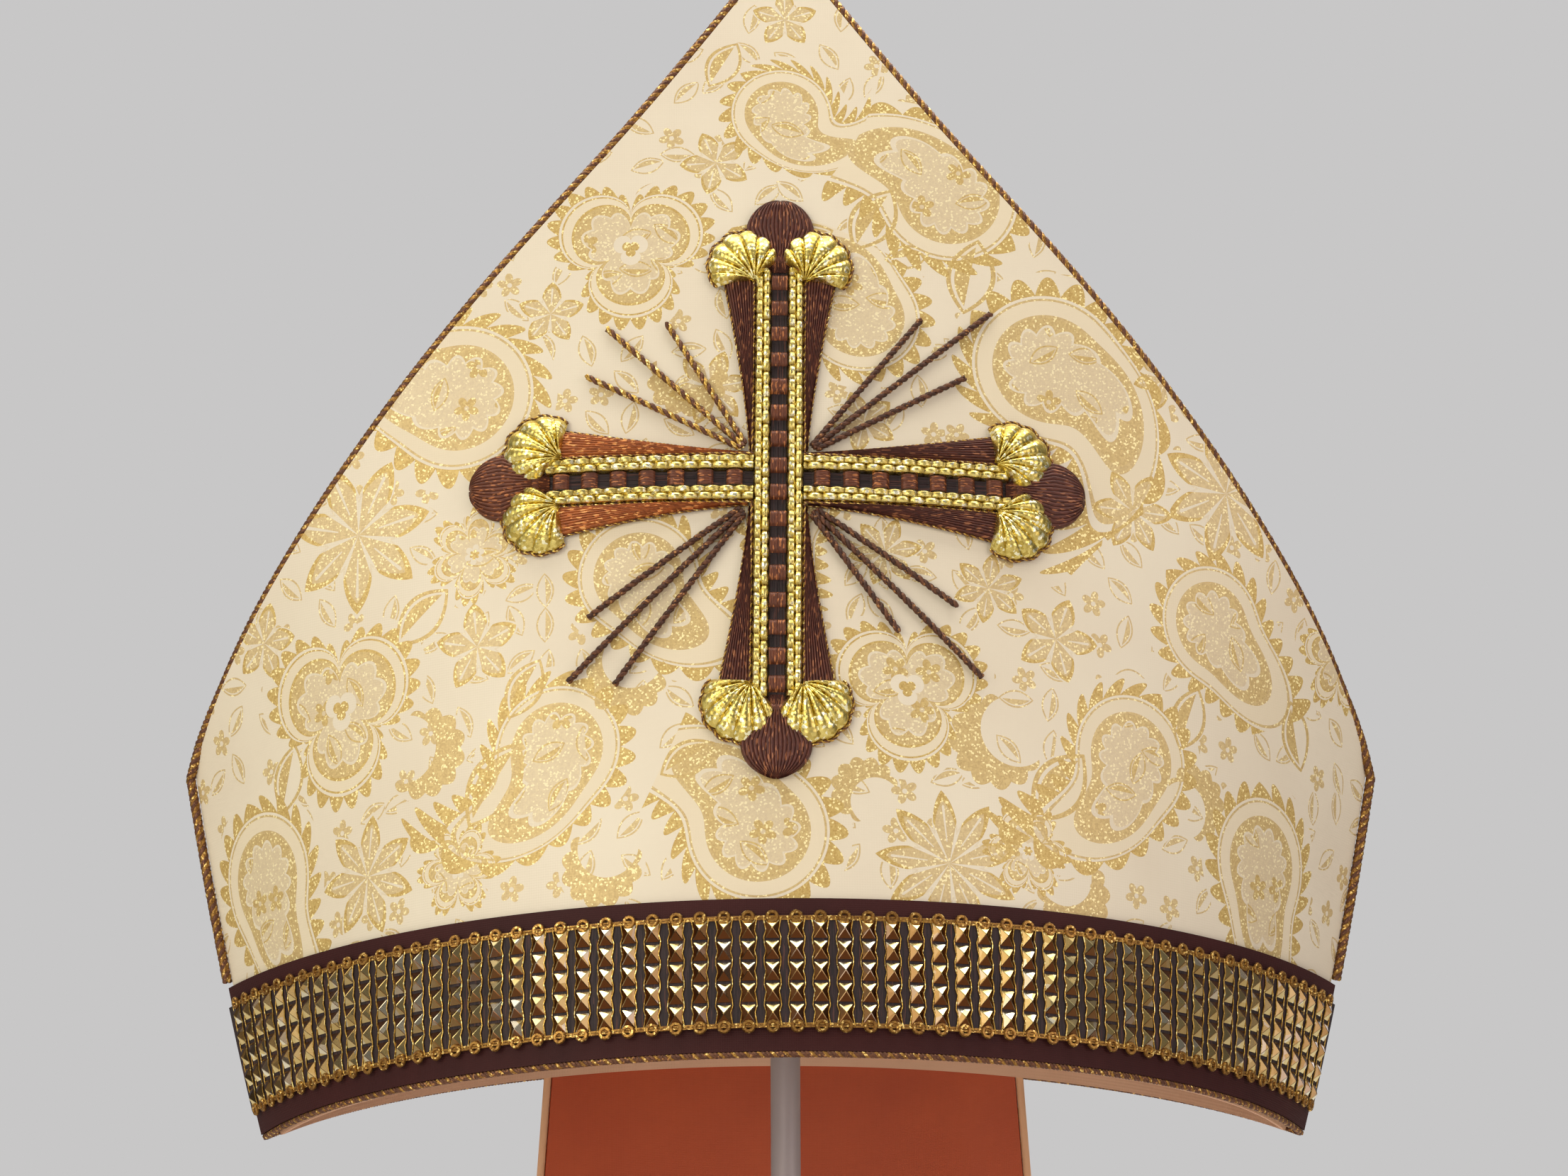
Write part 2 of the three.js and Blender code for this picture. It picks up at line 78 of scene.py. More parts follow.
def halfGirthAt(up):
    share = max(min(up / mitre["cornerUp"], 1), mitre["lowestShare"])
    return mitre["rimHalfGirth"] + (mitre["cornerHalfGirth"] - mitre["rimHalfGirth"]) * share


def bendAt(up):
    key = round(up, 4)
    if key not in bends:
        sewn = min(up, mitre["cornerUp"])
        bend = curvatureFor(halfGirthAt(sewn), mitre["rimBulge"] - sewn * math.tan(mitre["lean"]))
        if up > mitre["cornerUp"]:
            rise = (up - mitre["cornerUp"]) / (mitre["hornUp"] - mitre["cornerUp"])
            bend *= max(1 - rise / mitre["flatFrom"], mitre["leastBend"])
        bends[key] = bend
    return bends[key]


# Point of the front horn in metres, from millimetres round its bend, up its middle and out from its face
def onHorn(across, up, out=0.0):
    bend = bendAt(up)
    turn = across * bend
    depth = (1 - math.cos(turn)) / bend - out * math.cos(turn)
    lean = mitre["lean"]
    return Vector((
        math.sin(turn) / bend + out * math.sin(turn),
        (depth - mitre["rimBulge"]) * math.cos(lean) + up * math.sin(lean),
        up * math.cos(lean) - depth * math.sin(lean) + mitre["rimHeight"],
    )) / 1000


# Point over the side seam, where the two horns meet
def onSeam(up, out):
    point = onHorn(halfGirthAt(up), up)
    point.x += out / math.sin(halfGirthAt(up) * bendAt(up)) / 1000
    point.y = 0
    return point


# Half width of the flat panel at a height: the seam up to the corner, then a smooth curve through the table
def edgeAt(up):
    if up <= mitre["cornerUp"]:
        return halfGirthAt(up)
    rise = min((up - mitre["cornerUp"]) / (mitre["hornUp"] - mitre["cornerUp"]), 1)
    table = mitre["edge"]
    last = len(table) - 2
    row = min(int(rise * (last + 1)), last)
    t = rise * (last + 1) - row
    low, high = table[row], table[row + 1]
    enter = high - low if row == 0 else (high - table[row - 1]) / 2
    leave = high - low if row == last else (table[row + 2] - low) / 2
    reach = (2 * t**3 - 3 * t**2 + 1) * low + (t**3 - 2 * t**2 + t) * enter
    reach += (3 * t**2 - 2 * t**3) * high + (t**3 - t**2) * leave
    return max(mitre["cornerHalfGirth"] * reach, mitre["tipHalfWidth"])


def lerp(low, high, share):
    return low + (high - low) * share


# Evenly spaced values from the first to the last
def evenly(first, last, steps):
    return [lerp(first, last, step / steps) for step in range(steps + 1)]


def turnedToBack(point):
    return Vector((-point.x, -point.y, point.z))


# Frame on the horn: x round the bend, y up, z out of the face, with its origin at the point asked for
def frameOnHorn(across, up, out):
    near = 0.2
    right = (onHorn(across + near, up, out) - onHorn(across - near, up, out)).normalized()
    rise = (onHorn(across, up + near, out) - onHorn(across, up - near, out)).normalized()
    face = right.cross(rise).normalized()
    matrix = Matrix((right, face.cross(right), face)).transposed().to_4x4()
    matrix.translation = onHorn(across, up, out)
    return matrix


# Camera first: it stands where the photograph was taken from
camera = {
    "place": (-0.0230, -0.7081, 0.3889),
    "pitch": 9.38,
    "yaw": -1.87,
    "roll": 0.23,
    "lens": 72.35,
    "sensor": 36,
    "nearest": 0.01,
}
bpy.ops.object.camera_add(location=camera["place"])
view = bpy.context.object
view.name = "photoView"
turns = Matrix.Rotation(math.radians(camera["yaw"]), 4, "Z")
turns @= Matrix.Rotation(math.radians(90 + camera["pitch"]), 4, "X")
turns @= Matrix.Rotation(math.radians(-camera["roll"]), 4, "Z")
view.rotation_euler = turns.to_euler()
view.data.lens = camera["lens"]
view.data.sensor_width = camera["sensor"]
view.data.clip_start = camera["nearest"]
bpy.context.scene.camera = view
print("stage: camera placed")


# Node helpers: each takes numbers or sockets and gives back the new node's socket
def addNode(tree, kind, **settings):
    node = tree.nodes.new(kind)
    for key, value in settings.items():
        setattr(node, key, value)
    return node


def feed(tree, value, socket):
    if isinstance(value, bpy.types.NodeSocket):
        tree.links.new(value, socket)
    elif value is not None:
        socket.default_value = value


def calc(tree, operation, *values, clamp=False):
    node = addNode(tree, "ShaderNodeMath", operation=operation, use_clamp=clamp)
    for value, socket in zip(values, node.inputs):
        feed(tree, value, socket)
    return node.outputs[0]


def vecCalc(tree, operation, *values, scale=None):
    node = addNode(tree, "ShaderNodeVectorMath", operation=operation)
    for value, socket in zip(values, node.inputs):
        feed(tree, value, socket)
    if scale is not None:
        feed(tree, scale, node.inputs["Scale"])
    return node.outputs["Value" if operation in ("LENGTH", "DISTANCE") else "Vector"]


def times(tree, *values):
    product = values[0]
    for value in values[1:]:
        product = calc(tree, "MULTIPLY", product, value)
    return product


def plus(tree, first, second):
    return calc(tree, "ADD", first, second)


def most(tree, *values):
    highest = values[0]
    for value in values[1:]:
        highest = calc(tree, "MAXIMUM", highest, value)
    return highest


def ripple(tree, value, wave="SINE"):
    return calc(tree, "ABSOLUTE", calc(tree, wave, value))


def apartOf(tree, vector):
    node = addNode(tree, "ShaderNodeSeparateXYZ")
    feed(tree, vector, node.inputs[0])
    return node.outputs


# A mix node's own sockets for each kind of value: the first of its two inputs, and its output
mixSockets = {"FLOAT": (2, 0), "VECTOR": (4, 1), "RGBA": (6, 2)}


def mixed(kind):
    def mix(tree, factor, first, second):
        entry, result = mixSockets[kind]
        node = addNode(tree, "ShaderNodeMix", data_type=kind)
        for value, at in ((factor, 0), (first, entry), (second, entry + 1)):
            feed(tree, value, node.inputs[at])
        return node.outputs[result]

    return mix


mixValue, mixVec, mixColour = mixed("FLOAT"), mixed("VECTOR"), mixed("RGBA")


def softEdge(tree, value, low, high):
    node = addNode(tree, "ShaderNodeMapRange", interpolation_type="SMOOTHSTEP")
    feed(tree, value, node.inputs["Value"])
    node.inputs["From Min"].default_value = low
    node.inputs["From Max"].default_value = high
    return node.outputs[0]


def newGroup(name, inputs, outputs):
    tree = bpy.data.node_groups.new(name, "ShaderNodeTree")
    for label, kind, value in inputs:
        socket = tree.interface.new_socket(label, in_out="INPUT", socket_type=kind)
        if value is not None:
            socket.default_value = value
    for label, kind in outputs:
        tree.interface.new_socket(label, in_out="OUTPUT", socket_type=kind)
    return tree, addNode(tree, "NodeGroupInput"), addNode(tree, "NodeGroupOutput")


def placeGroup(tree, group, **values):
    node = addNode(tree, "ShaderNodeGroup", node_tree=group)
    for label, value in values.items():
        feed(tree, value, node.inputs[label])
    return node


def newMaterial(name, **values):
    material = bpy.data.materials.new(name)
    material.use_nodes = True
    tree = material.node_tree
    shader = tree.nodes["Principled BSDF"]
    for label, value in values.items():
        shader.inputs[label].default_value = value
    return material, tree, shader


def linear(red, green, blue):
    def one(value):
        value /= 255
        return value / 12.92 if value <= 0.04045 else ((value + 0.055) / 1.055) ** 2.4
    return (one(red), one(green), one(blue), 1)


# Fine cloth: crossed threads for the bump, and a slow drift of shade
def makeWeaveGroup():
    inputs = [
        ("Vector", "NodeSocketVector", None),
        ("Threads", "NodeSocketFloat", 2.6),
        ("Drift", "NodeSocketFloat", 0.03),
    ]
    outputs = [("Height", "NodeSocketFloat"), ("Shade", "NodeSocketFloat")]
    tree, given, out = newGroup("weave", inputs, outputs)
    spaced = apartOf(tree, vecCalc(tree, "SCALE", given.outputs["Vector"], scale=given.outputs["Threads"]))
    warp, weft = [calc(tree, "SINE", times(tree, spaced[axis], 2 * math.pi)) for axis in (0, 1)]
    drift = addNode(tree, "ShaderNodeTexNoise")
    feed(tree, given.outputs["Vector"], drift.inputs["Vector"])
    feed(tree, given.outputs["Drift"], drift.inputs["Scale"])
    feed(tree, plus(tree, times(tree, plus(tree, warp, weft), 0.25), 0.5), out.inputs["Height"])
    feed(tree, drift.outputs["Fac"], out.inputs["Shade"])
    return tree


# Metal thread: grains with a height each, and a share of them that catch the light
def makeGlintGroup():
    inputs = [
        ("Vector", "NodeSocketVector", None),
        ("Grains", "NodeSocketFloat", 3.0),
        ("Share", "NodeSocketFloat", 0.08),
    ]
    outputs = [("Glint", "NodeSocketFloat"), ("Height", "NodeSocketFloat")]
    tree, given, out = newGroup("glints", inputs, outputs)
    cells = addNode(tree, "ShaderNodeTexVoronoi")
    feed(tree, given.outputs["Vector"], cells.inputs["Vector"])
    feed(tree, given.outputs["Grains"], cells.inputs["Scale"])
    chance = addNode(tree, "ShaderNodeSeparateColor")
    feed(tree, cells.outputs["Color"], chance.inputs[0])
    feed(tree, calc(tree, "LESS_THAN", chance.outputs[0], given.outputs["Share"]), out.inputs["Glint"])
    feed(tree, chance.outputs[1], out.inputs["Height"])
    return tree


# Figures woven into the brocade: kind, then rows of across, up, size in millimetres, turn in degrees, and
# how far the tail curls (paisley) or how many petals there are (flower and leafy)
figures = {
    "paisley": [
        (57.3, 152.8, 20, -30, -0.75), (-7.5, 46, 17, 120, 0.5), (-50, 66, 16, -112, -0.6),
        (-128, 50, 17, -80, 0.3), (-72, 147, 19, 160, -0.5), (-32.6, 103.3, 15, -60, 0.4),
        (36, 193, 18, 135, 0.5), (-1, 213.5, 13, -60, 1.2), (15.9, 163, 15, 100, 0.5),
        (113, 50, 17, -85, 0.2), (75, 67, 16, -112, -0.5), (96, 99.4, 15, -42, 0.1),
        (-1, 119, 11, -100, 0.3),
    ],
    "flower": [
        (-34.5, 180, 19, -90, 3), (-102, 82, 21, -90, 3), (24, 77.5, 18, -90, 3),
        (-68.6, 111, 11, 20, 6), (-72.5, 43, 10, 0, 6), (49.4, 44, 10, 0, 6), (134, 100, 13, 0, 6),
    ],
    "leafy": [
        (-96, 119, 16, 10, 7), (-68, 90.5, 9, 95, 5), (99, 129, 15, 0, 7), (32, 40, 14.5, 15, 9),
        (-96, 45, 12, 30, 7), (57.2, 91, 9, 70, 5), (42.2, 101, 7.5, 20, 6), (-15.7, 201, 7.5, 40, 5),
        (76, 122, 9, 60, 6), (-122, 100, 8, 0, 5), (0, 238, 7, 90, 5), (-52, 165, 7, 15, 5),
        (84, 153, 7, 15, 6), (-17, 146, 8.5, 10, 6), (16, 138, 7, 40, 5), (20, 108, 7.5, 70, 6),
    ],
    "leaf": [
        (-81, 98.8, 7.5, 40, 0), (-64, 60, 9.5, 55, 0), (57.1, 58.5, 9, 52, 0), (40.4, 173.7, 8.5, 78, 0),
        (26.3, 178, 4.6, 10, 0), (19, 187, 8, 60, 0), (-57.2, 80, 6.5, 60, 0), (-118, 70, 7, 70, 0),
        (90, 78, 7, 70, 0), (4, 182, 6, 20, 0), (-14, 226, 6, 60, 0), (122, 80, 7, 110, 0),
        (-22, 62, 6, 30, 0),
    ],
    "crescent": [
        (43, 67, 9.5, 20, 0), (14.5, 55, 6.5, -60, 0), (-80.5, 69, 9, 150, 0), (-35, 80.5, 8, 60, 0),
        (92, 60, 7.5, 200, 0), (-57, 128, 7, -20, 0), (76, 178, 6, 30, 0), (-22, 148, 8, 80, 0),
        (60, 36, 8, 110, 0), (-40, 40, 8, 60, 0),
    ],
}
# Levels run from 0 in a figure's middle to 1 at its outer points. The filler is the sprigs between figures.
filler = {
    "spacing": 9.0, "scatter": 0.6, "petals": 5, "petal": 0.17, "blossom": 0.15, "eye": 0.06, "flowers": 0.3,
    "leafSize": 0.44, "clear": 1.06, "grow": 1.1, "gold": 0.75,
}
fill = {
    "arch": 0.09, "border": 0.17, "gap": 0.03, "field": 0.42, "sprig": 0.5, "gapGold": 0.1,
    "borderGold": 0.85,
}
paisley = {
    "tailWidth": 0.52, "tailReach": 1.2, "body": 0.98, "curlFrom": 0.8, "field": 0.56, "band": (0.59, 0.745),
    "lines": ((0.56, 0.59), (0.745, 0.77)), "lineGold": 0.8, "teeth": 9.5, "teethLean": 7, "teethFrom": 0.80,
    "teethDepth": 0.2, "arches": 6,
}
flower = {
    "round": 0.6, "lobes": 0.5, "body": 0.46, "heart": (0.2, 0.66), "middle": 0.1, "band": (0.69, 0.79),
    "lines": ((0.66, 0.69), (0.79, 0.81)), "teeth": 14, "teethFrom": 0.84, "teethDepth": 0.14, "arches": 6,
}
leafy = {
    "point": 0.52, "body": 0.46, "vein": 0.1, "veinSpan": (0.3, 0.8), "valley": 0.95, "edge": (0.86, 1),
    "gold": 0.7, "cut": 0.8,
}
leaf = {"slender": 1.7, "sprigSlender": 2.0, "filled": 0.66, "mid": 0.02, "rim": (0.8, 1), "gold": 0.9}
crescent = {
    "bite": (0.48, 0.1, 0), "biteSize": 0.74, "scallop": 0.14, "waves": 6, "size": 0.86, "gold": 0.85,
    "free": 1.9,
}


# The figure of a table that lies nearest to the point for its size: the point in the figure's own turned and
# scaled frame, how far out and at what angle it lies there, and the figure's last number
def ownFrame(tree, point, rows):
    best, centre, facts = 1e3, (0, 0, 0), (0, 1, 0)
    for across, up, plain, turn, extra in rows:
        here, size = (across, up, 0), plain * filler["grow"]
        away = calc(tree, "DIVIDE", vecCalc(tree, "DISTANCE", point, here), size)
        nearer = calc(tree, "LESS_THAN", away, best)
        centre = mixVec(tree, nearer, centre, here)
        facts = mixVec(tree, nearer, facts, (math.radians(turn), size, extra))
        best = calc(tree, "MINIMUM", away, best)
    turn, size, extra = apartOf(tree, facts)
    spin = addNode(tree, "ShaderNodeVectorRotate", rotation_type="Z_AXIS")
    feed(tree, vecCalc(tree, "SUBTRACT", point, centre), spin.inputs["Vector"])
    feed(tree, times(tree, turn, -1), spin.inputs["Angle"])
    own = vecCalc(tree, "SCALE", spin.outputs[0], scale=calc(tree, "DIVIDE", 1, size))
    x, y, _ = apartOf(tree, own)
    return own, vecCalc(tree, "LENGTH", own), calc(tree, "ARCTAN2", y, x), extra


def between(tree, value, low, high):
    return times(tree, calc(tree, "GREATER_THAN", value, low), calc(tree, "LESS_THAN", value, high))


# Leaf with a point at each end, outlined, with one half filled
def pointedLeaf(tree, own, slender):
    x, y, _ = apartOf(tree, own)
    slim = plus(tree, times(tree, x, x), times(tree, calc(tree, "ABSOLUTE", y), slender))
    half = calc(tree, "GREATER_THAN", y, leaf["mid"])
    half = times(tree, calc(tree, "LESS_THAN", slim, leaf["filled"]), half)
    return most(tree, between(tree, slim, *leaf["rim"]), half), slim


# Filling of the large figures: a scalloped border inside the outer level, then a paler field with sprigs
def fieldFill(tree, level, angle, waves, outer, sprig):
    arch = ripple(tree, times(tree, angle, waves))
    line = calc(tree, "SUBTRACT", level, times(tree, arch, fill["arch"]))
    border = outer - fill["border"]
    field = plus(tree, times(tree, sprig, fill["sprig"]), fill["field"])
    field = mixValue(tree, between(tree, line, border - fill["gap"], border), field, fill["gapGold"])
    return mixValue(tree, calc(tree, "GREATER_THAN", line, border), field, fill["borderGold"])


# Small sprigs between the figures: one leaf or flower in each cell of a loose scatter
def sprigs(tree, point):
    scaled = vecCalc(tree, "SCALE", point, scale=1 / filler["spacing"])
    cells = addNode(tree, "ShaderNodeTexVoronoi", voronoi_dimensions="2D")
    feed(tree, scaled, cells.inputs["Vector"])
    cells.inputs["Scale"].default_value = 1
    cells.inputs["Randomness"].default_value = filler["scatter"]
    chance = addNode(tree, "ShaderNodeSeparateColor")
    feed(tree, cells.outputs["Color"], chance.inputs[0])
    spin = addNode(tree, "ShaderNodeVectorRotate", rotation_type="Z_AXIS")
    feed(tree, vecCalc(tree, "SUBTRACT", scaled, cells.outputs["Position"]), spin.inputs["Vector"])
    feed(tree, times(tree, chance.outputs[0], 2 * math.pi), spin.inputs["Angle"])
    own = spin.outputs[0]
    x, y, _ = apartOf(tree, own)
    petals = ripple(tree, times(tree, calc(tree, "ARCTAN2", y, x), filler["petals"] / 2), "COSINE")
    reach = plus(tree, times(tree, petals, filler["petal"]), filler["blossom"])
    blossom = between(tree, vecCalc(tree, "LENGTH", own), filler["eye"], reach)
    blade = vecCalc(tree, "SCALE", own, scale=1 / filler["leafSize"])
    chosen = calc(tree, "GREATER_THAN", chance.outputs[1], filler["flowers"])
    return mixValue(tree, chosen, blossom, pointedLeaf(tree, blade, leaf["sprigSlender"])[0])


# What paisleys and flowers share: gold teeth round the outside and two gold lines along a plain band
def trimmed(tree, level, waves, look):
    low, least = look["teethFrom"], 0.01
    reach = plus(tree, times(tree, ripple(tree, waves), look["teethDepth"]), low + least)
    teeth = between(tree, level, low, reach)
    lines = [between(tree, level, *line) for line in look["lines"]]
    return teeth, most(tree, *lines), between(tree, level, *look["band"])


def makeBrocadeGroup():
    outputs = [("Gold", "NodeSocketFloat"), ("Band", "NodeSocketFloat")]
    tree, given, out = newGroup("brocadeFigures", [("Vector", "NodeSocketVector", None)], outputs)
    point = given.outputs["Vector"]
    sprig = sprigs(tree, point)

    _, radius, angle, curl = ownFrame(tree, point, figures["paisley"])
    curled = times(tree, curl, calc(tree, "SUBTRACT", radius, paisley["curlFrom"]))
    bent = calc(tree, "SUBTRACT", angle, curled)
    bent = calc(tree, "WRAP", bent, math.pi, -math.pi)
    narrow = calc(tree, "DIVIDE", bent, paisley["tailWidth"])
    tail = calc(tree, "EXPONENT", times(tree, narrow, narrow, -1))
    reach = plus(tree, times(tree, tail, paisley["tailReach"]), paisley["body"])
    apart = level = calc(tree, "DIVIDE", radius, reach)
    turns = times(tree, calc(tree, "ABSOLUTE", bent), paisley["teeth"])
    waves = calc(tree, "SUBTRACT", turns, times(tree, radius, paisley["teethLean"]))
    teeth, lines, band = trimmed(tree, level, waves, paisley)
    filling = fieldFill(tree, level, bent, paisley["arches"], paisley["field"], sprig)
    filling = times(tree, calc(tree, "LESS_THAN", level, paisley["field"]), filling)
    gold = most(tree, filling, times(tree, lines, paisley["lineGold"]), teeth)

    _, radius, angle, petals = ownFrame(tree, point, figures["flower"])
    lobes = calc(tree, "POWER", ripple(tree, times(tree, angle, petals, 0.5), "COSINE"), flower["round"])
    reach = plus(tree, times(tree, lobes, flower["lobes"]), flower["body"])
    level = calc(tree, "DIVIDE", radius, reach)
    teeth, lines, ring = trimmed(tree, level, times(tree, angle, flower["teeth"]), flower)
    filling = fieldFill(tree, level, angle, flower["arches"], flower["heart"][1], sprig)
    filling = times(tree, between(tree, level, *flower["heart"]), filling)
    gold = most(tree, gold, filling, calc(tree, "LESS_THAN", level, flower["middle"]), lines, teeth)
    band = most(tree, band, ring)
    apart = calc(tree, "MINIMUM", apart, level)

    _, radius, angle, petals = ownFrame(tree, point, figures["leafy"])
    valley = ripple(tree, times(tree, angle, petals, 0.5))
    points = calc(tree, "POWER", calc(tree, "SUBTRACT", 1, valley), 0.5)
    level = calc(tree, "DIVIDE", radius, plus(tree, times(tree, points, leafy["point"]), leafy["body"]))
    veins = between(tree, level, *leafy["veinSpan"])
    vein = times(tree, calc(tree, "LESS_THAN", valley, leafy["vein"]), veins)
    cut = times(tree, calc(tree, "GREATER_THAN", valley, leafy["valley"]), leafy["cut"])
    cut = most(tree, vein, cut)
    edge = times(tree, between(tree, level, *leafy["edge"]), 1 - leafy["gold"])
    blades = plus(tree, times(tree, calc(tree, "LESS_THAN", level, 1), leafy["gold"]), edge)
    gold = most(tree, gold, calc(tree, "SUBTRACT", blades, cut, clamp=True))
    apart = calc(tree, "MINIMUM", apart, level)

    blade, slim = pointedLeaf(tree, ownFrame(tree, point, figures["leaf"])[0], leaf["slender"])
    gold = most(tree, gold, times(tree, blade, leaf["gold"]))
    apart = calc(tree, "MINIMUM", apart, slim)

    own, radius, angle, _ = ownFrame(tree, point, figures["crescent"])
    bite = vecCalc(tree, "DISTANCE", own, crescent["bite"])
    scallop = times(tree, ripple(tree, times(tree, angle, crescent["waves"])), crescent["scallop"])
    moon = calc(tree, "LESS_THAN", calc(tree, "SUBTRACT", radius, scallop), crescent["size"])
    moon = times(tree, moon, calc(tree, "GREATER_THAN", bite, crescent["biteSize"]))
    gold = most(tree, gold, times(tree, moon, crescent["gold"]))
    apart = calc(tree, "MINIMUM", apart, most(tree, radius, calc(tree, "SUBTRACT", crescent["free"], bite)))

    free = calc(tree, "GREATER_THAN", apart, filler["clear"])
    feed(tree, most(tree, gold, times(tree, sprig, free, filler["gold"])), out.inputs["Gold"])
    feed(tree, band, out.inputs["Band"])
    return tree


weaveGroup = makeWeaveGroup()
glintGroup = makeGlintGroup()
brocadeGroup = makeBrocadeGroup()


# Millimetres over the flat cloth, from the piece's own UV map, whose unit is a decimetre
clothUnit = 100


def clothPoint(tree, shift=(0, 0, 0)):
    coordinates = addNode(tree, "ShaderNodeUVMap", uv_map="flatCloth")
    scaled = vecCalc(tree, "SCALE", coordinates.outputs[0], scale=clothUnit)
    return vecCalc(tree, "ADD", scaled, shift)


def objectPoint(tree):
    coordinates = addNode(tree, "ShaderNodeTexCoord")
    return vecCalc(tree, "SCALE", coordinates.outputs["Object"], scale=1000)


def addBump(tree, shader, height, strength, distance):
    bump = addNode(tree, "ShaderNodeBump")
    feed(tree, height, bump.inputs["Height"])
    bump.inputs["Strength"].default_value = strength
    bump.inputs["Distance"].default_value = distance
    tree.links.new(bump.outputs[0], shader.inputs["Normal"])


brocadeLook = {
    "ground": linear(232, 223, 202),
    "groundDeep": linear(218, 204, 182),
    "band": linear(226, 212, 184),
    "gold": linear(212, 184, 114),
    "goldDeep": linear(190, 156, 88),
    "glint": linear(255, 240, 178),
    "metallic": 0.25,
    "threads": 1.9,
    "drift": 0.03,
    "grains": 2.6,
    "share": 0.12,
    "rough": (0.5, 0.42, 0.6),
    "grainRise": 0.4,
    "bump": (0.15, 0.00015),
    "coat": {"Coat Weight": 0.2, "Coat Roughness": 0.42, "Specular IOR Level": 0.45},
}


# Brocade: the figures over a woven ground. A repeat starts them at a height and mirrors them past a span.
def makeBrocade(name, shift, repeat=None):
    look = brocadeLook
    material, tree, shader = newMaterial(name, **look["coat"])
    point = clothPoint(tree, shift)
    if repeat:
        start, span = repeat
        x, y, _ = apartOf(tree, point)
        mirrored = addNode(tree, "ShaderNodeCombineXYZ")
        feed(tree, x, mirrored.inputs[0])
        feed(tree, plus(tree, calc(tree, "PINGPONG", y, span), start), mirrored.inputs[1])
        point = mirrored.outputs[0]
    woven = placeGroup(tree, brocadeGroup, Vector=point)
    weave = placeGroup(tree, weaveGroup, Vector=point, Threads=look["threads"], Drift=look["drift"])
    glints = placeGroup(tree, glintGroup, Vector=point, Grains=look["grains"], Share=look["share"])
    gold, grain = woven.outputs["Gold"], glints.outputs["Height"]
    ground = mixColour(tree, weave.outputs["Shade"], look["ground"], look["groundDeep"])
    ground = mixColour(tree, woven.outputs["Band"], ground, look["band"])
    thread = mixColour(tree, grain, look["gold"], look["goldDeep"])
    thread = mixColour(tree, glints.outputs["Glint"], thread, look["glint"])
    feed(tree, mixColour(tree, gold, ground, thread), shader.inputs["Base Color"])
    feed(tree, times(tree, gold, look["metallic"]), shader.inputs["Metallic"])
    plain, smooth, coarse = look["rough"]
    feed(tree, mixValue(tree, gold, plain, mixValue(tree, grain, smooth, coarse)), shader.inputs["Roughness"])
    height = plus(tree, weave.outputs["Height"], times(tree, grain, look["grainRise"]))
    addBump(tree, shader, height, *look["bump"])
    return material


satinLook = {"drift": 0.05, "bump": (0.4, 0.00012)}


def makeSatin(name, light, deep, roughness, threads, shine=0.5):
    material, tree, shader = newMaterial(name, Roughness=roughness, **{"Specular IOR Level": shine})
    weave = placeGroup(tree, weaveGroup, Vector=clothPoint(tree), Threads=threads, Drift=satinLook["drift"])
    shade = mixColour(tree, weave.outputs["Shade"], linear(*light), linear(*deep))
    feed(tree, shade, shader.inputs["Base Color"])
    addBump(tree, shader, weave.outputs["Height"], *satinLook["bump"])
    return material


# Thread: glinting grains, or, with a stretch, fine streaks that run up the piece's own UV map. A stitch is a
# length in millimetres up that map and the painted shade between two stitches. Facets get painted shade on
# the lower sides of the studs, and on their upper ones where the braid turns away past so much of a face's
# sideways slant.
threadLook = {"swell": 0.8, "rougher": 0.15, "relief": 0.25, "reliefDepth": 0.0001}


def makeThread(name, colours, roughness, metallic, grains, share, stretch=None, stitch=None, paintedFacetShade=None):
    material, tree, shader = newMaterial(name, Metallic=metallic)
    light, deep, spark = [linear(*colour) for colour in colours]
    point = vecCalc(tree, "MULTIPLY", clothPoint(tree), stretch) if stretch else objectPoint(tree)
    glints = placeGroup(tree, glintGroup, Vector=point, Grains=grains, Share=share)
    grain = glints.outputs["Height"]
    body = mixColour(tree, grain, light, deep)
    body = mixColour(tree, glints.outputs["Glint"], body, spark)
    # Painted shade: the stitch's dark colour fills the dips between the couched threads' swells
    if stitch:
        length, dark = stitch
        along = apartOf(tree, clothPoint(tree))[1]
        swell = calc(tree, "POWER", ripple(tree, times(tree, along, math.pi / length)), threadLook["swell"])
        body = mixColour(tree, swell, linear(*dark), body)
    # Painted shade: the last colour darkens facets that face down, and those that face up where the face
    # slants far sideways
    if paintedFacetShade:
        turn, low, high, dark = paintedFacetShade
        x, _, z = apartOf(tree, addNode(tree, "ShaderNodeNewGeometry").outputs["Normal"])
        facing = times(tree, z, calc(tree, "SUBTRACT", turn, calc(tree, "ABSOLUTE", x)))
        body = mixColour(tree, softEdge(tree, facing, low, high), linear(*dark), body)
    else:
        addBump(tree, shader, grain, threadLook["relief"], threadLook["reliefDepth"])
    feed(tree, body, shader.inputs["Base Color"])
    rough = mixValue(tree, grain, roughness, roughness + threadLook["rougher"])
    feed(tree, rough, shader.inputs["Roughness"])
    return material


# Stand metal: satin grey with a faint drift of shade
steelLook = {
    "light": (172, 162, 164), "deep": (156, 146, 148), "rough": (0.42, 0.5), "threads": 0.9, "drift": 0.02,
}


def makeSteel(name, metallic):
    material, tree, shader = newMaterial(name, Metallic=metallic)
    threads, drift = steelLook["threads"], steelLook["drift"]
    weave = placeGroup(tree, weaveGroup, Vector=objectPoint(tree), Threads=threads, Drift=drift)
    drifting = weave.outputs["Shade"]
    shade = mixColour(tree, drifting, linear(*steelLook["light"]), linear(*steelLook["deep"]))
    feed(tree, shade, shader.inputs["Base Color"])
    feed(tree, mixValue(tree, drifting, *steelLook["rough"]), shader.inputs["Roughness"])
    return material
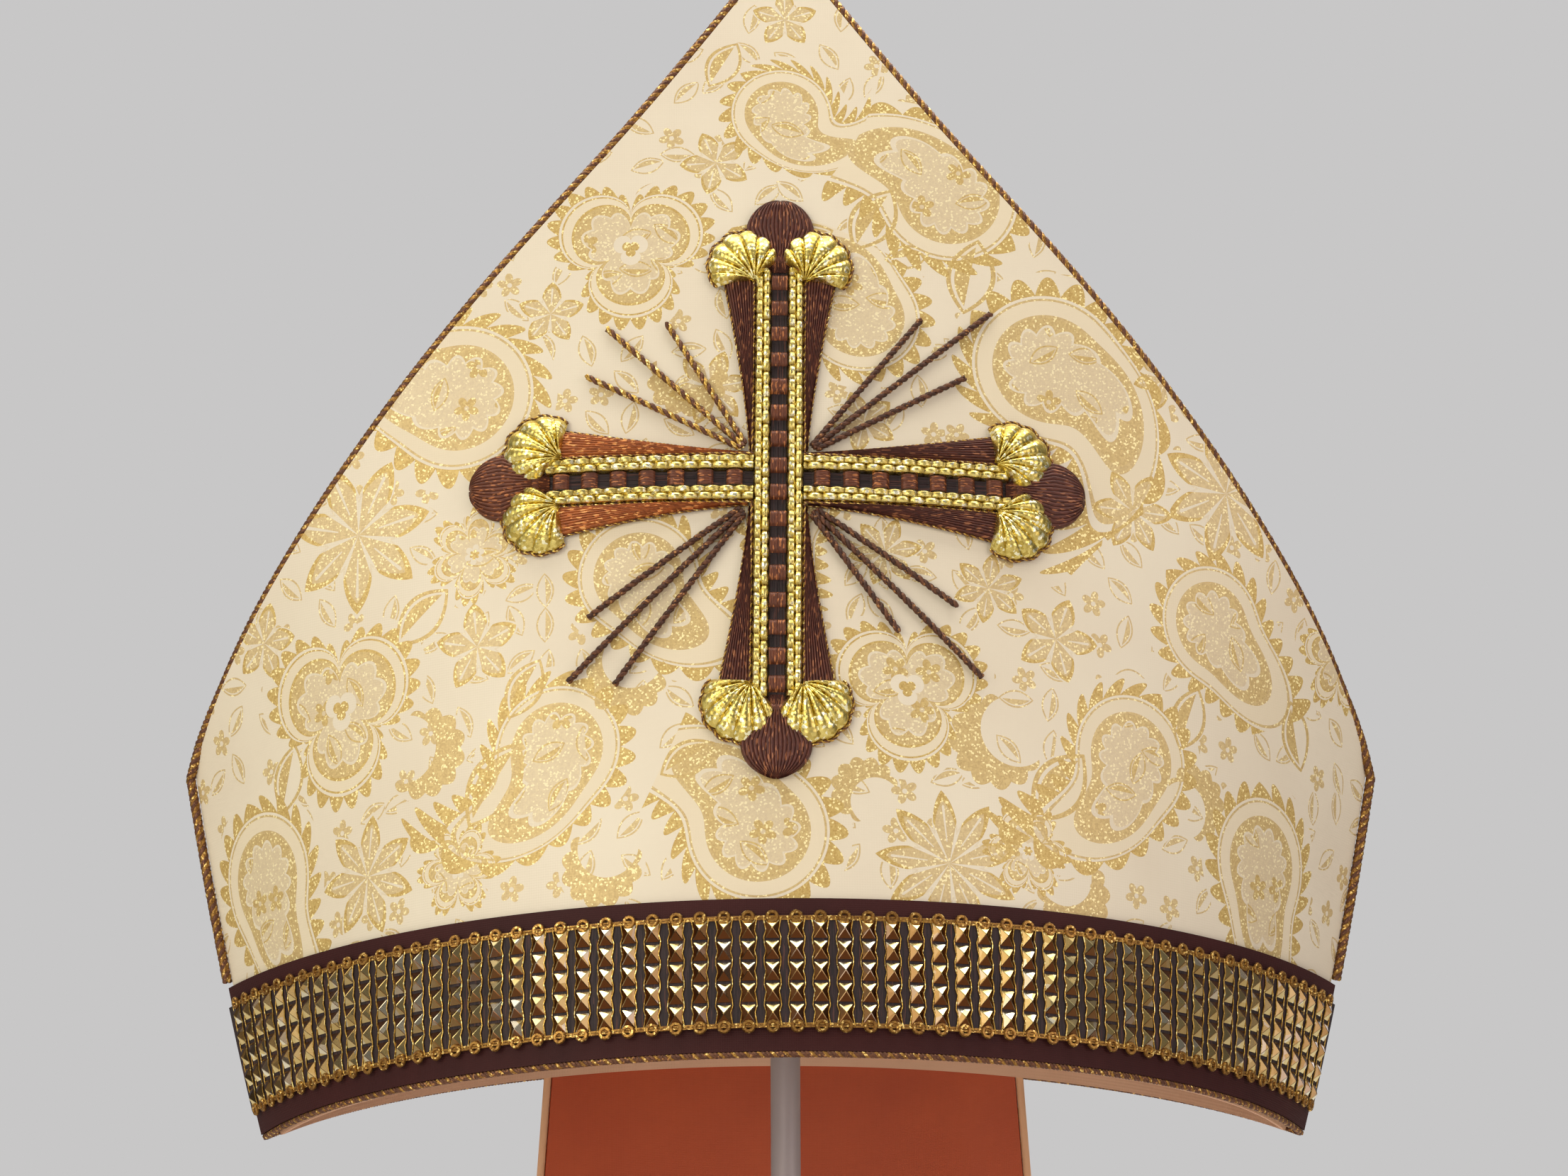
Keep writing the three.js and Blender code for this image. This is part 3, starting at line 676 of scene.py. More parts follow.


# Materials by name. Brocades: shift of the figures, then their repeat. Satins: colour, deeper colour,
# roughness, threads and shine. Threads: colour, deeper colour and bright grains, then roughness, metallic,
# grains, the share of bright ones, and the stretch, stitch with painted shade, and painted facet shade where
# they have them.
brocades = {
    "brocadeFront": [(0, 0, 0)],
    "brocadeBack": [(14, 0, 0)],
    "brocadeLappet": [(20, 0, 0), (40, 150)],
}
satins = {
    "ribbonSatin": [(66, 26, 24), (46, 18, 19), 0.62, 2.2, 0.2],
    "liningSatin": [(189, 80, 32), (170, 66, 27), 0.55, 2.4],
    "hemTape": [(222, 180, 150), (206, 162, 132), 0.8, 1.4],
    "palePiping": [(226, 178, 138), (206, 152, 112), 0.6, 1.8],
}
threads = {
    "goldBullion": [[(238, 220, 134), (184, 160, 76), (255, 252, 214)], 0.2, 1.0, 1.5, 0.14],
    # Rails: painted shade in dark olive at each stitch, where the couched threads dip
    "railBullion": [
        [(244, 228, 150), (214, 192, 104), (255, 252, 222)], 0.2, 1.0, 1.5, 0.16, None, (3.1, (150, 124, 58)),
    ],
    # Studs: painted shade in dark brown on the facets turned away from the light
    "studGold": [
        [(248, 232, 172), (230, 204, 132), (255, 250, 222)], 0.1, 1.0, 0.35, 0.2, None, None,
        (0.43, -0.05, 0.14, (96, 58, 32)),
    ],
    "goldThread": [[(214, 176, 92), (158, 118, 54), (255, 236, 160)], 0.3, 0.9, 2.6, 0.12],
    "bronzeThread": [[(176, 132, 64), (118, 80, 40), (250, 214, 130)], 0.34, 0.75, 2.6, 0.1],
    "brownThread": [[(84, 50, 34), (54, 32, 24), (150, 104, 60)], 0.42, 0.3, 2.6, 0.04],
    "umberThread": [[(116, 74, 48), (80, 48, 36), (176, 124, 74)], 0.42, 0.4, 2.6, 0.06],
    # One silk in a lit copy for the left arm's flares and a shaded copy for the other arms: painted light and
    # painted shade
    "brownSilk": [[(186, 108, 56), (142, 78, 42), (240, 176, 108)], 0.34, 0.3, 1.0, 0.14, (4.2, 1.1, 1)],
    "deepSilk": [[(100, 54, 42), (72, 38, 32), (160, 104, 72)], 0.36, 0.3, 1.0, 0.12, (4.2, 0.9, 1)],
    "rungSilk": [[(112, 60, 36), (84, 44, 29), (176, 110, 64)], 0.38, 0.3, 1.0, 0.12, (4.2, 1.2, 1)],
    # Dark silk: the braid backing's own colour, and painted shade in the ladder's dips
    "darkSilk": [[(44, 22, 24), (26, 14, 17), (74, 40, 34)], 0.6, 0.0, 1.0, 0.05, (4.4, 0.3, 1)],
}
metals = {"standSteel": [0.15]}
kinds = [(makeBrocade, brocades), (makeSatin, satins), (makeThread, threads), (makeSteel, metals)]
looks = {name: make(name, *values) for make, table in kinds for name, values in table.items()}
print("stage: materials made")


def selectOnly(piece):
    bpy.ops.object.select_all(action="DESELECT")
    piece.select_set(True)
    bpy.context.view_layer.objects.active = piece


# A flat grid is laid over the shape: place turns (-1 to 1 across, 0 to 1 up) into metres, and flat into
# millimetres of cloth
def layGrid(name, columns, rows, place, flat=None):
    bpy.ops.object.select_all(action="DESELECT")
    bpy.ops.mesh.primitive_grid_add(x_subdivisions=columns, y_subdivisions=rows, size=2)
    piece = bpy.context.object
    piece.name = name
    mesh = piece.data
    shares = [(vertex.co.x, (vertex.co.y + 1) / 2) for vertex in mesh.vertices]
    for vertex, (s, t) in zip(mesh.vertices, shares):
        vertex.co = place(s, t)
    layer = mesh.uv_layers[0]
    layer.name = "flatCloth"
    if flat:
        cloth = [flat(s, t) for s, t in shares]
        for loop in mesh.loops:
            x, y = cloth[loop.vertex_index]
            layer.data[loop.index].uv = (x / clothUnit, y / clothUnit)
    return piece


def applyModifier(piece, kind, **settings):
    selectOnly(piece)
    modifier = piece.modifiers.new(kind.lower(), kind)
    for key, value in settings.items():
        setattr(modifier, key, value)
    bpy.ops.object.modifier_apply(modifier=modifier.name)


def thicken(piece, millimetres, offset=-1):
    applyModifier(piece, "SOLIDIFY", thickness=millimetres / 1000, offset=offset, use_even_offset=False)


# Edges sharper than these degrees stay sharp
creases = {"cloth": 40, "thread": 60, "stud": 15, "metal": 35}


# Material or materials, smooth shading, a place under the root body, and the replaced CAD parts hidden
def finishPiece(piece, look, nodes=(), kind="cloth"):
    slots = piece.data.materials
    for at, name in enumerate([look] if isinstance(look, str) else look):
        if at < len(slots):
            slots[at] = looks[name]
        else:
            slots.append(looks[name])
    selectOnly(piece)
    bpy.ops.object.shade_smooth_by_angle(angle=math.radians(creases[kind]))
    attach(piece, "root")
    if nodes:
        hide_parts(*nodes)
    return piece


def joined(name, pieces):
    selectOnly(pieces[0])
    for piece in pieces[1:]:
        piece.select_set(True)
    bpy.ops.object.join()
    pieces[0].name = name
    return pieces[0]


# Copies of one small shape, each put in its own frame, as a single mesh
def scattered(name, template, frames):
    points, faces = [], []
    corners = [vertex.co.copy() for vertex in template.data.vertices]
    sides = [tuple(polygon.vertices) for polygon in template.data.polygons]
    for matrix in frames:
        start = len(points)
        points.extend(matrix @ corner for corner in corners)
        faces.extend(tuple(start + index for index in side) for side in sides)
    mesh = bpy.data.meshes.new(name)
    mesh.from_pydata(points, [], faces)
    mesh.uv_layers.new(name="flatCloth")
    piece = bpy.data.objects.new(name, mesh)
    bpy.context.collection.objects.link(piece)
    bpy.data.objects.remove(template, do_unlink=True)
    return piece


# Round wires along lines, as one mesh: radius in millimetres, and each line's material slot if they differ
def wires(name, lines, radius, slots=(), resolution=1):
    curve = bpy.data.curves.new(name, "CURVE")
    curve.dimensions = "3D"
    curve.bevel_depth = radius / 1000
    curve.bevel_resolution = resolution
    curve.use_fill_caps = True
    for _ in set(slots):
        curve.materials.append(None)
    for index, line in enumerate(lines):
        spline = curve.splines.new("POLY")
        spline.points.add(len(line) - 1)
        spline.material_index = slots[index] if slots else 0
        for at, point in enumerate(line):
            spline.points[at].co = (*point, 1)
    piece = bpy.data.objects.new(name, curve)
    bpy.context.collection.objects.link(piece)
    selectOnly(piece)
    bpy.ops.object.convert(target="MESH")
    return bpy.context.object


# Frames that follow a line of points with as little twist as possible
def followed(points):
    frames, level = [], None
    for at, point in enumerate(points):
        along = (points[min(at + 1, len(points) - 1)] - points[max(at - 1, 0)]).normalized()
        if level is None:
            level = Vector((0, 0, 1)).cross(along)
            if level.length < 0.1:
                level = Vector((1, 0, 0)).cross(along)
        level = (level - along * level.dot(along)).normalized()
        frames.append((point, level, along.cross(level)))
    return frames


def resampled(points, step):
    lengths = [0]
    for before, after in zip(points, points[1:]):
        lengths.append(lengths[-1] + (after - before).length)
    count = max(int(lengths[-1] / step), 2)
    fine, at = [], 0
    for want in evenly(0, lengths[-1], count):
        while at < len(points) - 2 and lengths[at + 1] < want:
            at += 1
        share = (want - lengths[at]) / max(lengths[at + 1] - lengths[at], 1e-12)
        fine.append(points[at].lerp(points[at + 1], share))
    return fine


# Twisted cord: strands wound round a line, given by their material slots. Sizes in millimetres.
strandShares = {"pair": 0.62, "rope": 0.52}


def twistedCord(name, points, radius, strands, pitch, perTurn=9):
    fine = followed(resampled(points, pitch / perTurn / 1000))
    count = len(strands)
    strandRadius = radius * strandShares["pair" if count == 2 else "rope"]
    reach = (radius - strandRadius) / 1000
    lines = []
    for index in range(count):
        line = []
        for at, (point, level, upright) in enumerate(fine):
            turn = 2 * math.pi * (at / perTurn + index / count)
            line.append(point + level * reach * math.cos(turn) + upright * reach * math.sin(turn))
        lines.append(line)
    return wires(name, lines, strandRadius, strands)


# Horns: one stiffened panel each, laid out flat and bent. The rows crowd towards the point.
hornSizes = {"columns": 92, "rows": 110, "crowd": 1.15, "seamGap": 0.00015}


def makeHorn(name, node, look, back):
    def flat(s, t):
        up = mitre["hornUp"] * (1 - (1 - t) ** hornSizes["crowd"])
        return s * edgeAt(up), up

    def place(s, t):
        return onHorn(*flat(s, t))

    piece = layGrid(name, hornSizes["columns"], hornSizes["rows"], place, flat)
    thicken(piece, mitre["wall"])
    for vertex in piece.data.vertices:
        vertex.co.y = min(vertex.co.y, -hornSizes["seamGap"])
        if back:
            vertex.co = turnedToBack(vertex.co)
    return finishPiece(piece, look, [node])


makeHorn("hornFront", "horn_front", "brocadeFront", False)
makeHorn("hornBack", "horn_back", "brocadeBack", True)
print("stage: horns made")

# Gusset: soft cloth that folds down between the horns. Shares are of the way from the middle to a side.
gussetSizes = {
    "cloth": 1.1, "inset": 1.6, "topGap": 9.0, "foldHalf": 2.2, "clear": 0.6, "steep": 1.5, "softShare": 0.04,
    "foldShare": 0.03, "sag": 1.2, "flatHalf": 120, "flatLength": 400, "grid": (48, 100),
}


def gussetEdge(up):
    behind = mitre["wall"] + gussetSizes["clear"] + gussetSizes["cloth"]
    edge = onHorn(edgeAt(up) - gussetSizes["inset"], up, -behind)
    edge.y = min(edge.y, -gussetSizes["foldHalf"] / 1000)
    return edge


def gussetPlace(s, t):
    across = 2 * t - 1
    away = abs(across)
    top = mitre["hornUp"] - gussetSizes["topGap"]
    edge = gussetEdge(lerp(mitre["cornerUp"], top, away ** gussetSizes["steep"]))
    fold = gussetSizes["foldHalf"] / 1000
    low = gussetEdge(mitre["cornerUp"]).z - fold / 2
    soft = min(away / gussetSizes["softShare"], 1)
    half = edge.x if away > gussetSizes["foldShare"] else edge.x - fold
    depth = -edge.y * soft * (-1 if across < 0 else 1)
    sag = gussetSizes["sag"] / 1000 * math.sin(math.pi * away) * (1 - s * s)
    return Vector((s * half, depth, lerp(low, edge.z, soft) - sag))


def gussetFlat(s, t):
    return s * gussetSizes["flatHalf"], t * gussetSizes["flatLength"]


gusset = layGrid("gussetCloth", *gussetSizes["grid"], gussetPlace, gussetFlat)
thicken(gusset, gussetSizes["cloth"], 0)
finishPiece(gusset, "liningSatin", ["gusset"], "thread")
print("stage: gusset made")

# Bands that go round the rim: one half is laid in front and one behind, and the two are joined at the seams
bandSizes = {
    "clear": 0.3, "ribbon": 0.7, "tape": 0.8, "tapeUp": 12.0, "backing": 0.4, "flatHalf": 146,
    "flatBack": 300, "seamShare": 0.9999, "weld": 0.00002, "grid": (132, 6),
}
ribbonFace = bandSizes["clear"] + bandSizes["ribbon"]


def onBand(s, up, out):
    if abs(s) > bandSizes["seamShare"]:
        point = onSeam(up, out)
        point.x *= 1 if s > 0 else -1
        return point
    point = onHorn(s * halfGirthAt(up), up, out)
    point.y = min(point.y, 0)
    return point


def makeBand(name, low, high, out, cloth):
    def half(back):
        def place(s, t):
            point = onBand(s, lerp(low, high, t), out)
            return turnedToBack(point) if back else point

        def flat(s, t):
            return s * bandSizes["flatHalf"] + (bandSizes["flatBack"] if back else 0), lerp(low, high, t)

        return layGrid(name, *bandSizes["grid"], place, flat)

    piece = joined(name, [half(False), half(True)])
    applyModifier(piece, "WELD", merge_threshold=bandSizes["weld"])
    thicken(piece, cloth)
    return piece


ribbon = makeBand("ribbonBand", 0, mitre["ribbonUp"], ribbonFace, bandSizes["ribbon"])
finishPiece(ribbon, "ribbonSatin", ["ribbon"])
behindWall = -mitre["wall"] - 2 * bandSizes["clear"]
tape = makeBand("hemTape", 0, bandSizes["tapeUp"], behindWall, bandSizes["tape"])
finishPiece(tape, "hemTape", ["hem_tape"])
print("stage: bands made")

# Braid of pyramid studs: backing, studs, gold threads beside the studs, picots along both edges
braid = {
    "pitch": 4.8, "columns": 61, "rows": 5, "rowPitch": 4.35, "foot": 5.2, "past": 0.2,
    "studHalf": 1.47, "studTall": 1.33, "studRise": 1.15, "studTip": 0.14, "studLift": 0.1, "studBevel": 0.09,
    "picotRing": 1.0, "picotWire": 0.45, "picotPast": 0.35, "picotLift": 0.3,
}
uprightThread = {"past": 0.3, "beside": 0.05, "swing": 0.26, "lift": 0.22, "radius": 0.15, "steps": 16}
levelThread = {
    "past": 0.15, "apart": 0.25, "half": 145, "lift": 0.12, "wave": 0.14, "turn": 2.1, "radius": 0.25,
    "steps": 180,
}
braidFace = ribbonFace + bandSizes["clear"] + bandSizes["backing"]
braidTop = braid["foot"] + braid["rows"] * braid["rowPitch"]
columnSpots = [(column - (braid["columns"] - 1) / 2) * braid["pitch"] for column in range(braid["columns"])]


def studSpots(ups):
    for back in (False, True):
        for across in columnSpots:
            for up in ups:
                matrix = frameOnHorn(across, up, braidFace)
                yield Matrix.Rotation(math.pi, 4, "Z") @ matrix if back else matrix


def bothSides(line):
    return [line, [turnedToBack(point) for point in line]]


low, high = braid["foot"] - braid["past"], braidTop + braid["past"]
backing = makeBand("braidBacking", low, high, braidFace, bandSizes["backing"])
finishPiece(backing, "darkSilk", ["stud_braid"])

corner, tall = braid["studHalf"] * 1.414, braid["studRise"]
bpy.ops.mesh.primitive_cone_add(vertices=4, radius1=corner, radius2=braid["studTip"], depth=tall)
stud = bpy.context.object
lift = Matrix.Translation((0, 0, tall / 2 + braid["studLift"]))
stud.data.transform(lift @ Matrix.Rotation(math.pi / 4, 4, "Z"))
stud.data.transform(Matrix.Scale(braid["studTall"], 4, Vector((0, 1, 0))))
sharp = math.radians(20)
applyModifier(stud, "BEVEL", width=braid["studBevel"], segments=1, limit_method="ANGLE", angle_limit=sharp)
stud.data.transform(Matrix.Scale(0.001, 4))
ups = [braid["foot"] + (row + 0.5) * braid["rowPitch"] for row in range(braid["rows"])]
finishPiece(scattered("studs", stud, studSpots(ups)), "studGold", kind="stud")

ring, wire = braid["picotRing"] / 1000, braid["picotWire"] / 1000
bpy.ops.mesh.primitive_torus_add(major_radius=ring, minor_radius=wire, major_segments=12, minor_segments=6)
picot = bpy.context.object
picotUps = [braid["foot"] - braid["picotPast"], braidTop + braid["picotPast"]]
lift = Matrix.Translation((0, 0, braid["picotLift"] / 1000))
picots = scattered("picots", picot, (matrix @ lift for matrix in studSpots(picotUps)))
finishPiece(picots, "bronzeThread", kind="thread")

upright, level = [], []
low, high = braid["foot"] - uprightThread["past"], braidTop + uprightThread["past"]
for across in columnSpots:
    for side in (-1, 1):
        line = []
        for up in evenly(low, high, uprightThread["steps"]):
            swing = uprightThread["swing"] * math.cos(2 * math.pi * (up - braid["foot"]) / braid["rowPitch"])
            beside = braid["studHalf"] + uprightThread["beside"] + swing
            line.append(onHorn(across + side * beside, up, braidFace + uprightThread["lift"]))
        upright += bothSides(line)
piece = wires("braidUprights", upright, uprightThread["radius"])
finishPiece(piece, "goldThread", kind="thread")
for up in (braid["foot"] - levelThread["past"], braidTop + levelThread["past"]):
    for offset in (-levelThread["apart"], levelThread["apart"]):
        line = []
        half = levelThread["half"]
        for step, across in enumerate(evenly(-half, half, levelThread["steps"])):
            wave = levelThread["wave"] * math.cos(step * levelThread["turn"])
            line.append(onHorn(across, up + offset, braidFace + levelThread["lift"] + wave))
        level += bothSides(line)
piece = wires("braidLevels", level, levelThread["radius"])
finishPiece(piece, "bronzeThread", kind="thread")
print("stage: stud braid made")

# Cords: over the seams and free edges, and under the ribbon
cordSizes = {
    "edge": 1.15, "pitch": 5.2, "sink": 14.0, "clear": -0.4, "edgeTop": 2, "tipHalf": 2.0, "tipSideUp": 0.7,
    "tipUp": 2.3, "seamFoot": 1.3, "seamTop": 2, "frontStart": 4, "backStart": 10,
    "rim": 0.75, "rimPitch": 2.6, "rimHalf": 146, "rimUp": -0.55, "rimOut": 0.5,
}


def besideEdge(up, side):
    slope = (edgeAt(up + 1) - edgeAt(up - 1)) / 2
    off = (0.5 * cordSizes["clear"] + cordSizes["edge"]) / math.hypot(1, slope)
    sunk = min((up - mitre["cornerUp"]) / cordSizes["sink"], 1) * mitre["wall"] / 2
    return onHorn(side * (edgeAt(up) + off), up - off * slope, -sunk)


def overSeam(up, side):
    point = onSeam(up, cordSizes["clear"] / 2 + cordSizes["edge"])
    point.x *= side
    return point


def cordPath(seamUps, edgeStart):
    top, inWall = mitre["hornUp"], -mitre["wall"] / 2

    def half(side):
        line = [overSeam(up, side) for up in seamUps]
        line += [besideEdge(up, side) for up in evenly(edgeStart, top - cordSizes["edgeTop"], 60)]
        return line + [onHorn(side * cordSizes["tipHalf"], top + cordSizes["tipSideUp"], inWall)]

    return half(-1) + [onHorn(0, top + cordSizes["tipUp"], inWall)] + half(1)[::-1]


seamUps = evenly(mitre["ribbonUp"] + cordSizes["seamFoot"], mitre["cornerUp"] - cordSizes["seamTop"], 12)
frontLine = cordPath(seamUps, mitre["cornerUp"] + cordSizes["frontStart"])
backLine = bothSides(cordPath([], mitre["cornerUp"] + cordSizes["backStart"]))[1]
rimAcross = evenly(-cordSizes["rimHalf"], cordSizes["rimHalf"], 120)
rimLines = bothSides([onHorn(across, cordSizes["rimUp"], cordSizes["rimOut"]) for across in rimAcross])
edgeTwist = (cordSizes["edge"], [0, 1, 0, 1], cordSizes["pitch"])
rimTwist = (cordSizes["rim"], [0, 1, 1], cordSizes["rimPitch"], 6)
for name, node, line, twist in (
    ("edgeCordFront", "edge_cord_front", frontLine, edgeTwist),
    ("edgeCordBack", "edge_cord_back", backLine, edgeTwist),
    ("rimCordFront", "rim_cord_front", rimLines[0], rimTwist),
    ("rimCordBack", "rim_cord_back", rimLines[1], rimTwist),
):
    cord = twistedCord(name, line, *twist)
    finishPiece(cord, ["bronzeThread", "umberThread"], [node], "thread")
print("stage: cords made")

# Cross: sizes in millimetres from its middle
cross = {
    "up": 124.0, "across": -2.6, "tilt": math.radians(-0.95), "apart": 0.45, "padCloth": 0.35,
    "ladderHalf": 1.45, "gap": 0.3, "railWidth": 3.6, "railEnd": 49.6,
}
railHalf = cross["ladderHalf"] + cross["gap"] + cross["railWidth"]


def onCross(across, up, out):
    tilt = cross["tilt"]
    x = across * math.cos(tilt) - up * math.sin(tilt)
    y = across * math.sin(tilt) + up * math.cos(tilt)
    return onHorn(cross["across"] + x, cross["up"] + y, cross["apart"] + out)


def onArm(quarters, across, along, out):
    x, y = across, along
    for _ in range(quarters):
        x, y = -y, x
    return onCross(x, y, out)


# Stitched pad: a grid over a patch of an arm, given by where each point lies and how far out it stands
def stitchedPad(name, grid, quarters, spot, rise, flat=None):
    def place(s, t):
        across, along = spot(s, t)
        return onArm(quarters, across, along, rise(s, t))

    piece = layGrid(name, *grid, place, flat or spot)
    thicken(piece, cross["padCloth"])
    return piece


def roundedSides(s, power):
    return max(1 - abs(s) ** power, 0) ** 0.5


def ridges(share, count, plump=0.8):
    return abs(math.sin(math.pi * count * share)) ** plump


# Flare: a silk pad beside each rail that widens outwards
flareSizes = {
    "foot": 6.4, "end": 47.4, "footHalf": 5.95, "endHalf": 12.1, "curve": 1.35, "gap": 0.1, "rise": 1.7,
    "sides": 3, "footRise": 0.35, "growth": 1.3, "endSink": 0.15, "lift": 0.08, "threads": 10, "thread": 0.34,
    "footThread": 0.4, "grid": (90, 30),
}


def flareEdge(t):
    half = lerp(flareSizes["footHalf"], flareSizes["endHalf"], t ** flareSizes["curve"])
    return half, lerp(flareSizes["foot"], flareSizes["end"], t)


def makeFlare(name, quarters, side):
    sizes = flareSizes

    def spot(s, t):
        outside, along = flareEdge(t)
        return side * lerp(railHalf + sizes["gap"], outside, (s * side + 1) / 2), along

    def rise(s, t):
        body = min(sizes["footRise"] + sizes["growth"] * t, 1) * (1 - sizes["endSink"] * t)
        body *= sizes["rise"] * roundedSides(s, sizes["sides"])
        threads = ridges((s + 1) / 2, sizes["threads"]) * min(sizes["footThread"] + t, 1)
        return sizes["lift"] + body + sizes["thread"] * threads

    return stitchedPad(name, sizes["grid"], quarters, spot, rise)


# Rail: two couched gold threads side by side, each drawn in at every stitch and offset by half a stitch
railSizes = {
    "rise": 2.1, "stitch": 3.1, "swell": 0.6, "drawn": 0.9, "low": 0.62, "round": 2.2, "sides": 8,
    "lift": 0.15, "threads": 8, "thread": 0.07, "columns": 32, "rowStep": 0.4,
}


def makeRail(name, quarters, side, start):
    sizes = railSizes
    length = cross["railEnd"] - start
    middle = cross["ladderHalf"] + cross["gap"] + cross["railWidth"] / 2

    def swell(s, t):
        along = (start + length * t) / sizes["stitch"] + (0.5 if s < 0 else 0)
        return abs(math.sin(math.pi * along)) ** sizes["swell"]

    def spot(s, t):
        lane = 1 if s >= 0 else -1
        own = (abs(s) - 0.5) * lane
        across = lane * 0.5 + own * lerp(sizes["drawn"], 1, swell(s, t))
        return side * middle + across * cross["railWidth"] / 2, start + length * t

    def rise(s, t):
        body = sizes["rise"] * lerp(sizes["low"], 1, swell(s, t)) * roundedSides(s, sizes["sides"])
        body *= lerp(sizes["low"], 1, roundedSides(2 * abs(s) - 1, sizes["round"]))
        return sizes["lift"] + body + sizes["thread"] * ridges((s + 1) / 2, sizes["threads"])

    def flat(s, t):
        return s, start + length * t + (sizes["stitch"] / 2 if s < 0 else 0)

    return stitchedPad(name, (sizes["columns"], int(length / sizes["rowStep"])), quarters, spot, rise, flat)


# Ladder: brown silk drawn over a row of humps, with painted shade where it dips between them
ladderSizes = {
    "rung": 6.2, "humpShare": 0.29, "past": 3, "side": 0.3, "lift": 0.4, "hump": 1.2, "round": 3,
    "threads": 6, "thread": 0.2, "columns": 20, "rowStep": 0.28,
}


def makeLadder(name, quarters, start):
    sizes = ladderSizes
    length = cross["railEnd"] + sizes["past"] - start
    rows, columns = int(length / sizes["rowStep"]), sizes["columns"]

    def awayFromHump(t):
        return abs(((start + length * t) / sizes["rung"]) % 1 - 0.5) / sizes["humpShare"]

    def spot(s, t):
        return s * (cross["ladderHalf"] + sizes["side"]), start + length * t

    def place(s, t):
        rise = sizes["lift"] + sizes["thread"] * ridges((s + 1) / 2, sizes["threads"])
        rise += sizes["hump"] * roundedSides(awayFromHump(t), sizes["round"])
        return onArm(quarters, *spot(s, t), rise)

    piece = layGrid(name, columns, rows, place, spot)
    piece.data.materials.append(None)
    piece.data.materials.append(None)
    # Faces in the dips keep the first slot, the dark silk, as painted shade; faces on the humps take the
    # second
    for polygon in piece.data.polygons:
        row = polygon.index // columns
        polygon.material_index = 1 if awayFromHump((row + 0.5) / rows) < 1 else 0
    thicken(piece, cross["padCloth"])
    return piece


# Shell of gold bullion: plump lobes fan out from a hinge at the end of each rail. Reaches run round the fan.
shell = {
    "hinge": (5.4, 46.6), "from": -44.0, "to": 98.0, "reaches": [7.8, 11.4, 13.1, 13.2, 12.4, 10.8, 8.6],
    "lobes": 7, "notch": 0.96, "valley": 0.74, "plump": 0.6, "rise": 3.5, "peak": 0.75, "dome": 0.55,
    "start": 0.03, "sideShare": 0.07, "sideRise": 0.65, "lift": 0.1, "purls": 11, "purl": 0.09,
    "grid": (84, 45),
}


def shellReach(share):
    place = min(max(share, 0), 1) * (len(shell["reaches"]) - 1)
    row = min(int(place), len(shell["reaches"]) - 2)
    return lerp(shell["reaches"][row], shell["reaches"][row + 1], place - row)


def shellSpot(side, share, part):
    turn = math.radians(lerp(shell["from"], shell["to"], share))
    reach = shellReach(share) * part * lerp(shell["notch"], 1, ridges(share, shell["lobes"]))
    return side * (shell["hinge"][0] + reach * math.sin(turn)), shell["hinge"][1] + reach * math.cos(turn)


def makeShell(name, quarters, side):
    def place(s, t):
        share, part = (s * side + 1) / 2, lerp(shell["start"], 1, t)
        dome = shell["rise"] * max(math.sin(math.pi * part ** shell["peak"]), 0) ** shell["dome"]
        inner = min(share, 1 - share, shell["sideShare"]) / shell["sideShare"]
        dome *= lerp(shell["sideRise"], 1, inner)
        dome *= lerp(shell["valley"], 1, ridges(share, shell["lobes"]) ** shell["plump"])
        purl = shell["purl"] * ridges(part, shell["purls"])
        return onArm(quarters, *shellSpot(side, share, part), shell["lift"] + dome + purl)

    piece = layGrid(name, *shell["grid"], place)
    thicken(piece, cross["padCloth"])
    return piece


# Knob: silk threads fan from between the shells to the round end of the arm
knobSizes = {
    "reach": 66.8, "radius": 7.5, "foot": 49.0, "footHalf": 1.6, "low": -0.25, "lowShare": 0.2,
    "leastSquare": 0.01, "rise": 1.9, "sides": 2.4, "steep": 1.6, "lift": 0.1, "threads": 17, "thread": 0.3,
    "threadHalf": 3, "grid": (102, 26),
}


def makeKnob(name, quarters):
    sizes = knobSizes
    radius, foot, low, lowShare = sizes["radius"], sizes["foot"], sizes["low"], sizes["lowShare"]
    middle = sizes["reach"] - radius

    def spot(s, t):
        if t < lowShare:
            along = lerp(foot, middle + low * radius, t / lowShare)
        else:
            turn = lerp(math.asin(low), math.pi / 2, (t - lowShare) / (1 - lowShare))
            along = middle + radius * math.sin(turn)
        if along > middle:
            return s * max(radius ** 2 - (along - middle) ** 2, sizes["leastSquare"]) ** 0.5, along
        return s * lerp(sizes["footHalf"], radius, (along - foot) / (middle - foot)), along

    def rise(s, t):
        half = spot(1, t)[0]
        thread = sizes["thread"] * ridges((s + 1) / 2, sizes["threads"]) * min(half / sizes["threadHalf"], 1)
        body = sizes["rise"] * roundedSides(s, sizes["sides"]) * min(half / radius * sizes["steep"], 1)
        return sizes["lift"] + body + thread

    return stitchedPad(name, sizes["grid"], quarters, spot, rise)


# Outlines: thin twists beside the flares, round the shells and along the rails
outlineSizes = {
    "radius": 0.32, "pitch": 1.7, "perTurn": 6, "flareBeside": 0.15, "flareOut": 0.3, "shellPart": 1.02,
    "shellOut": 0.4, "railBeside": 0.25, "railOut": 1.0, "uprightStart": 6.0,
}


def outlinesOf(quarters, side):
    sizes = outlineSizes
    flareLine, shellLine, railLine = [], [], []
    for t in evenly(0, 1, 24):
        half, along = flareEdge(t)
        flareLine.append(onArm(quarters, side * (half + sizes["flareBeside"]), along, sizes["flareOut"]))
    for share in evenly(0, 1, 56):
        shellLine.append(onArm(quarters, *shellSpot(side, share, sizes["shellPart"]), sizes["shellOut"]))
    start = railHalf if quarters % 2 else sizes["uprightStart"]
    for along in evenly(start, flareSizes["end"], 30):
        railLine.append(onArm(quarters, side * (railHalf + sizes["railBeside"]), along, sizes["railOut"]))
    return [flareLine, shellLine, railLine]


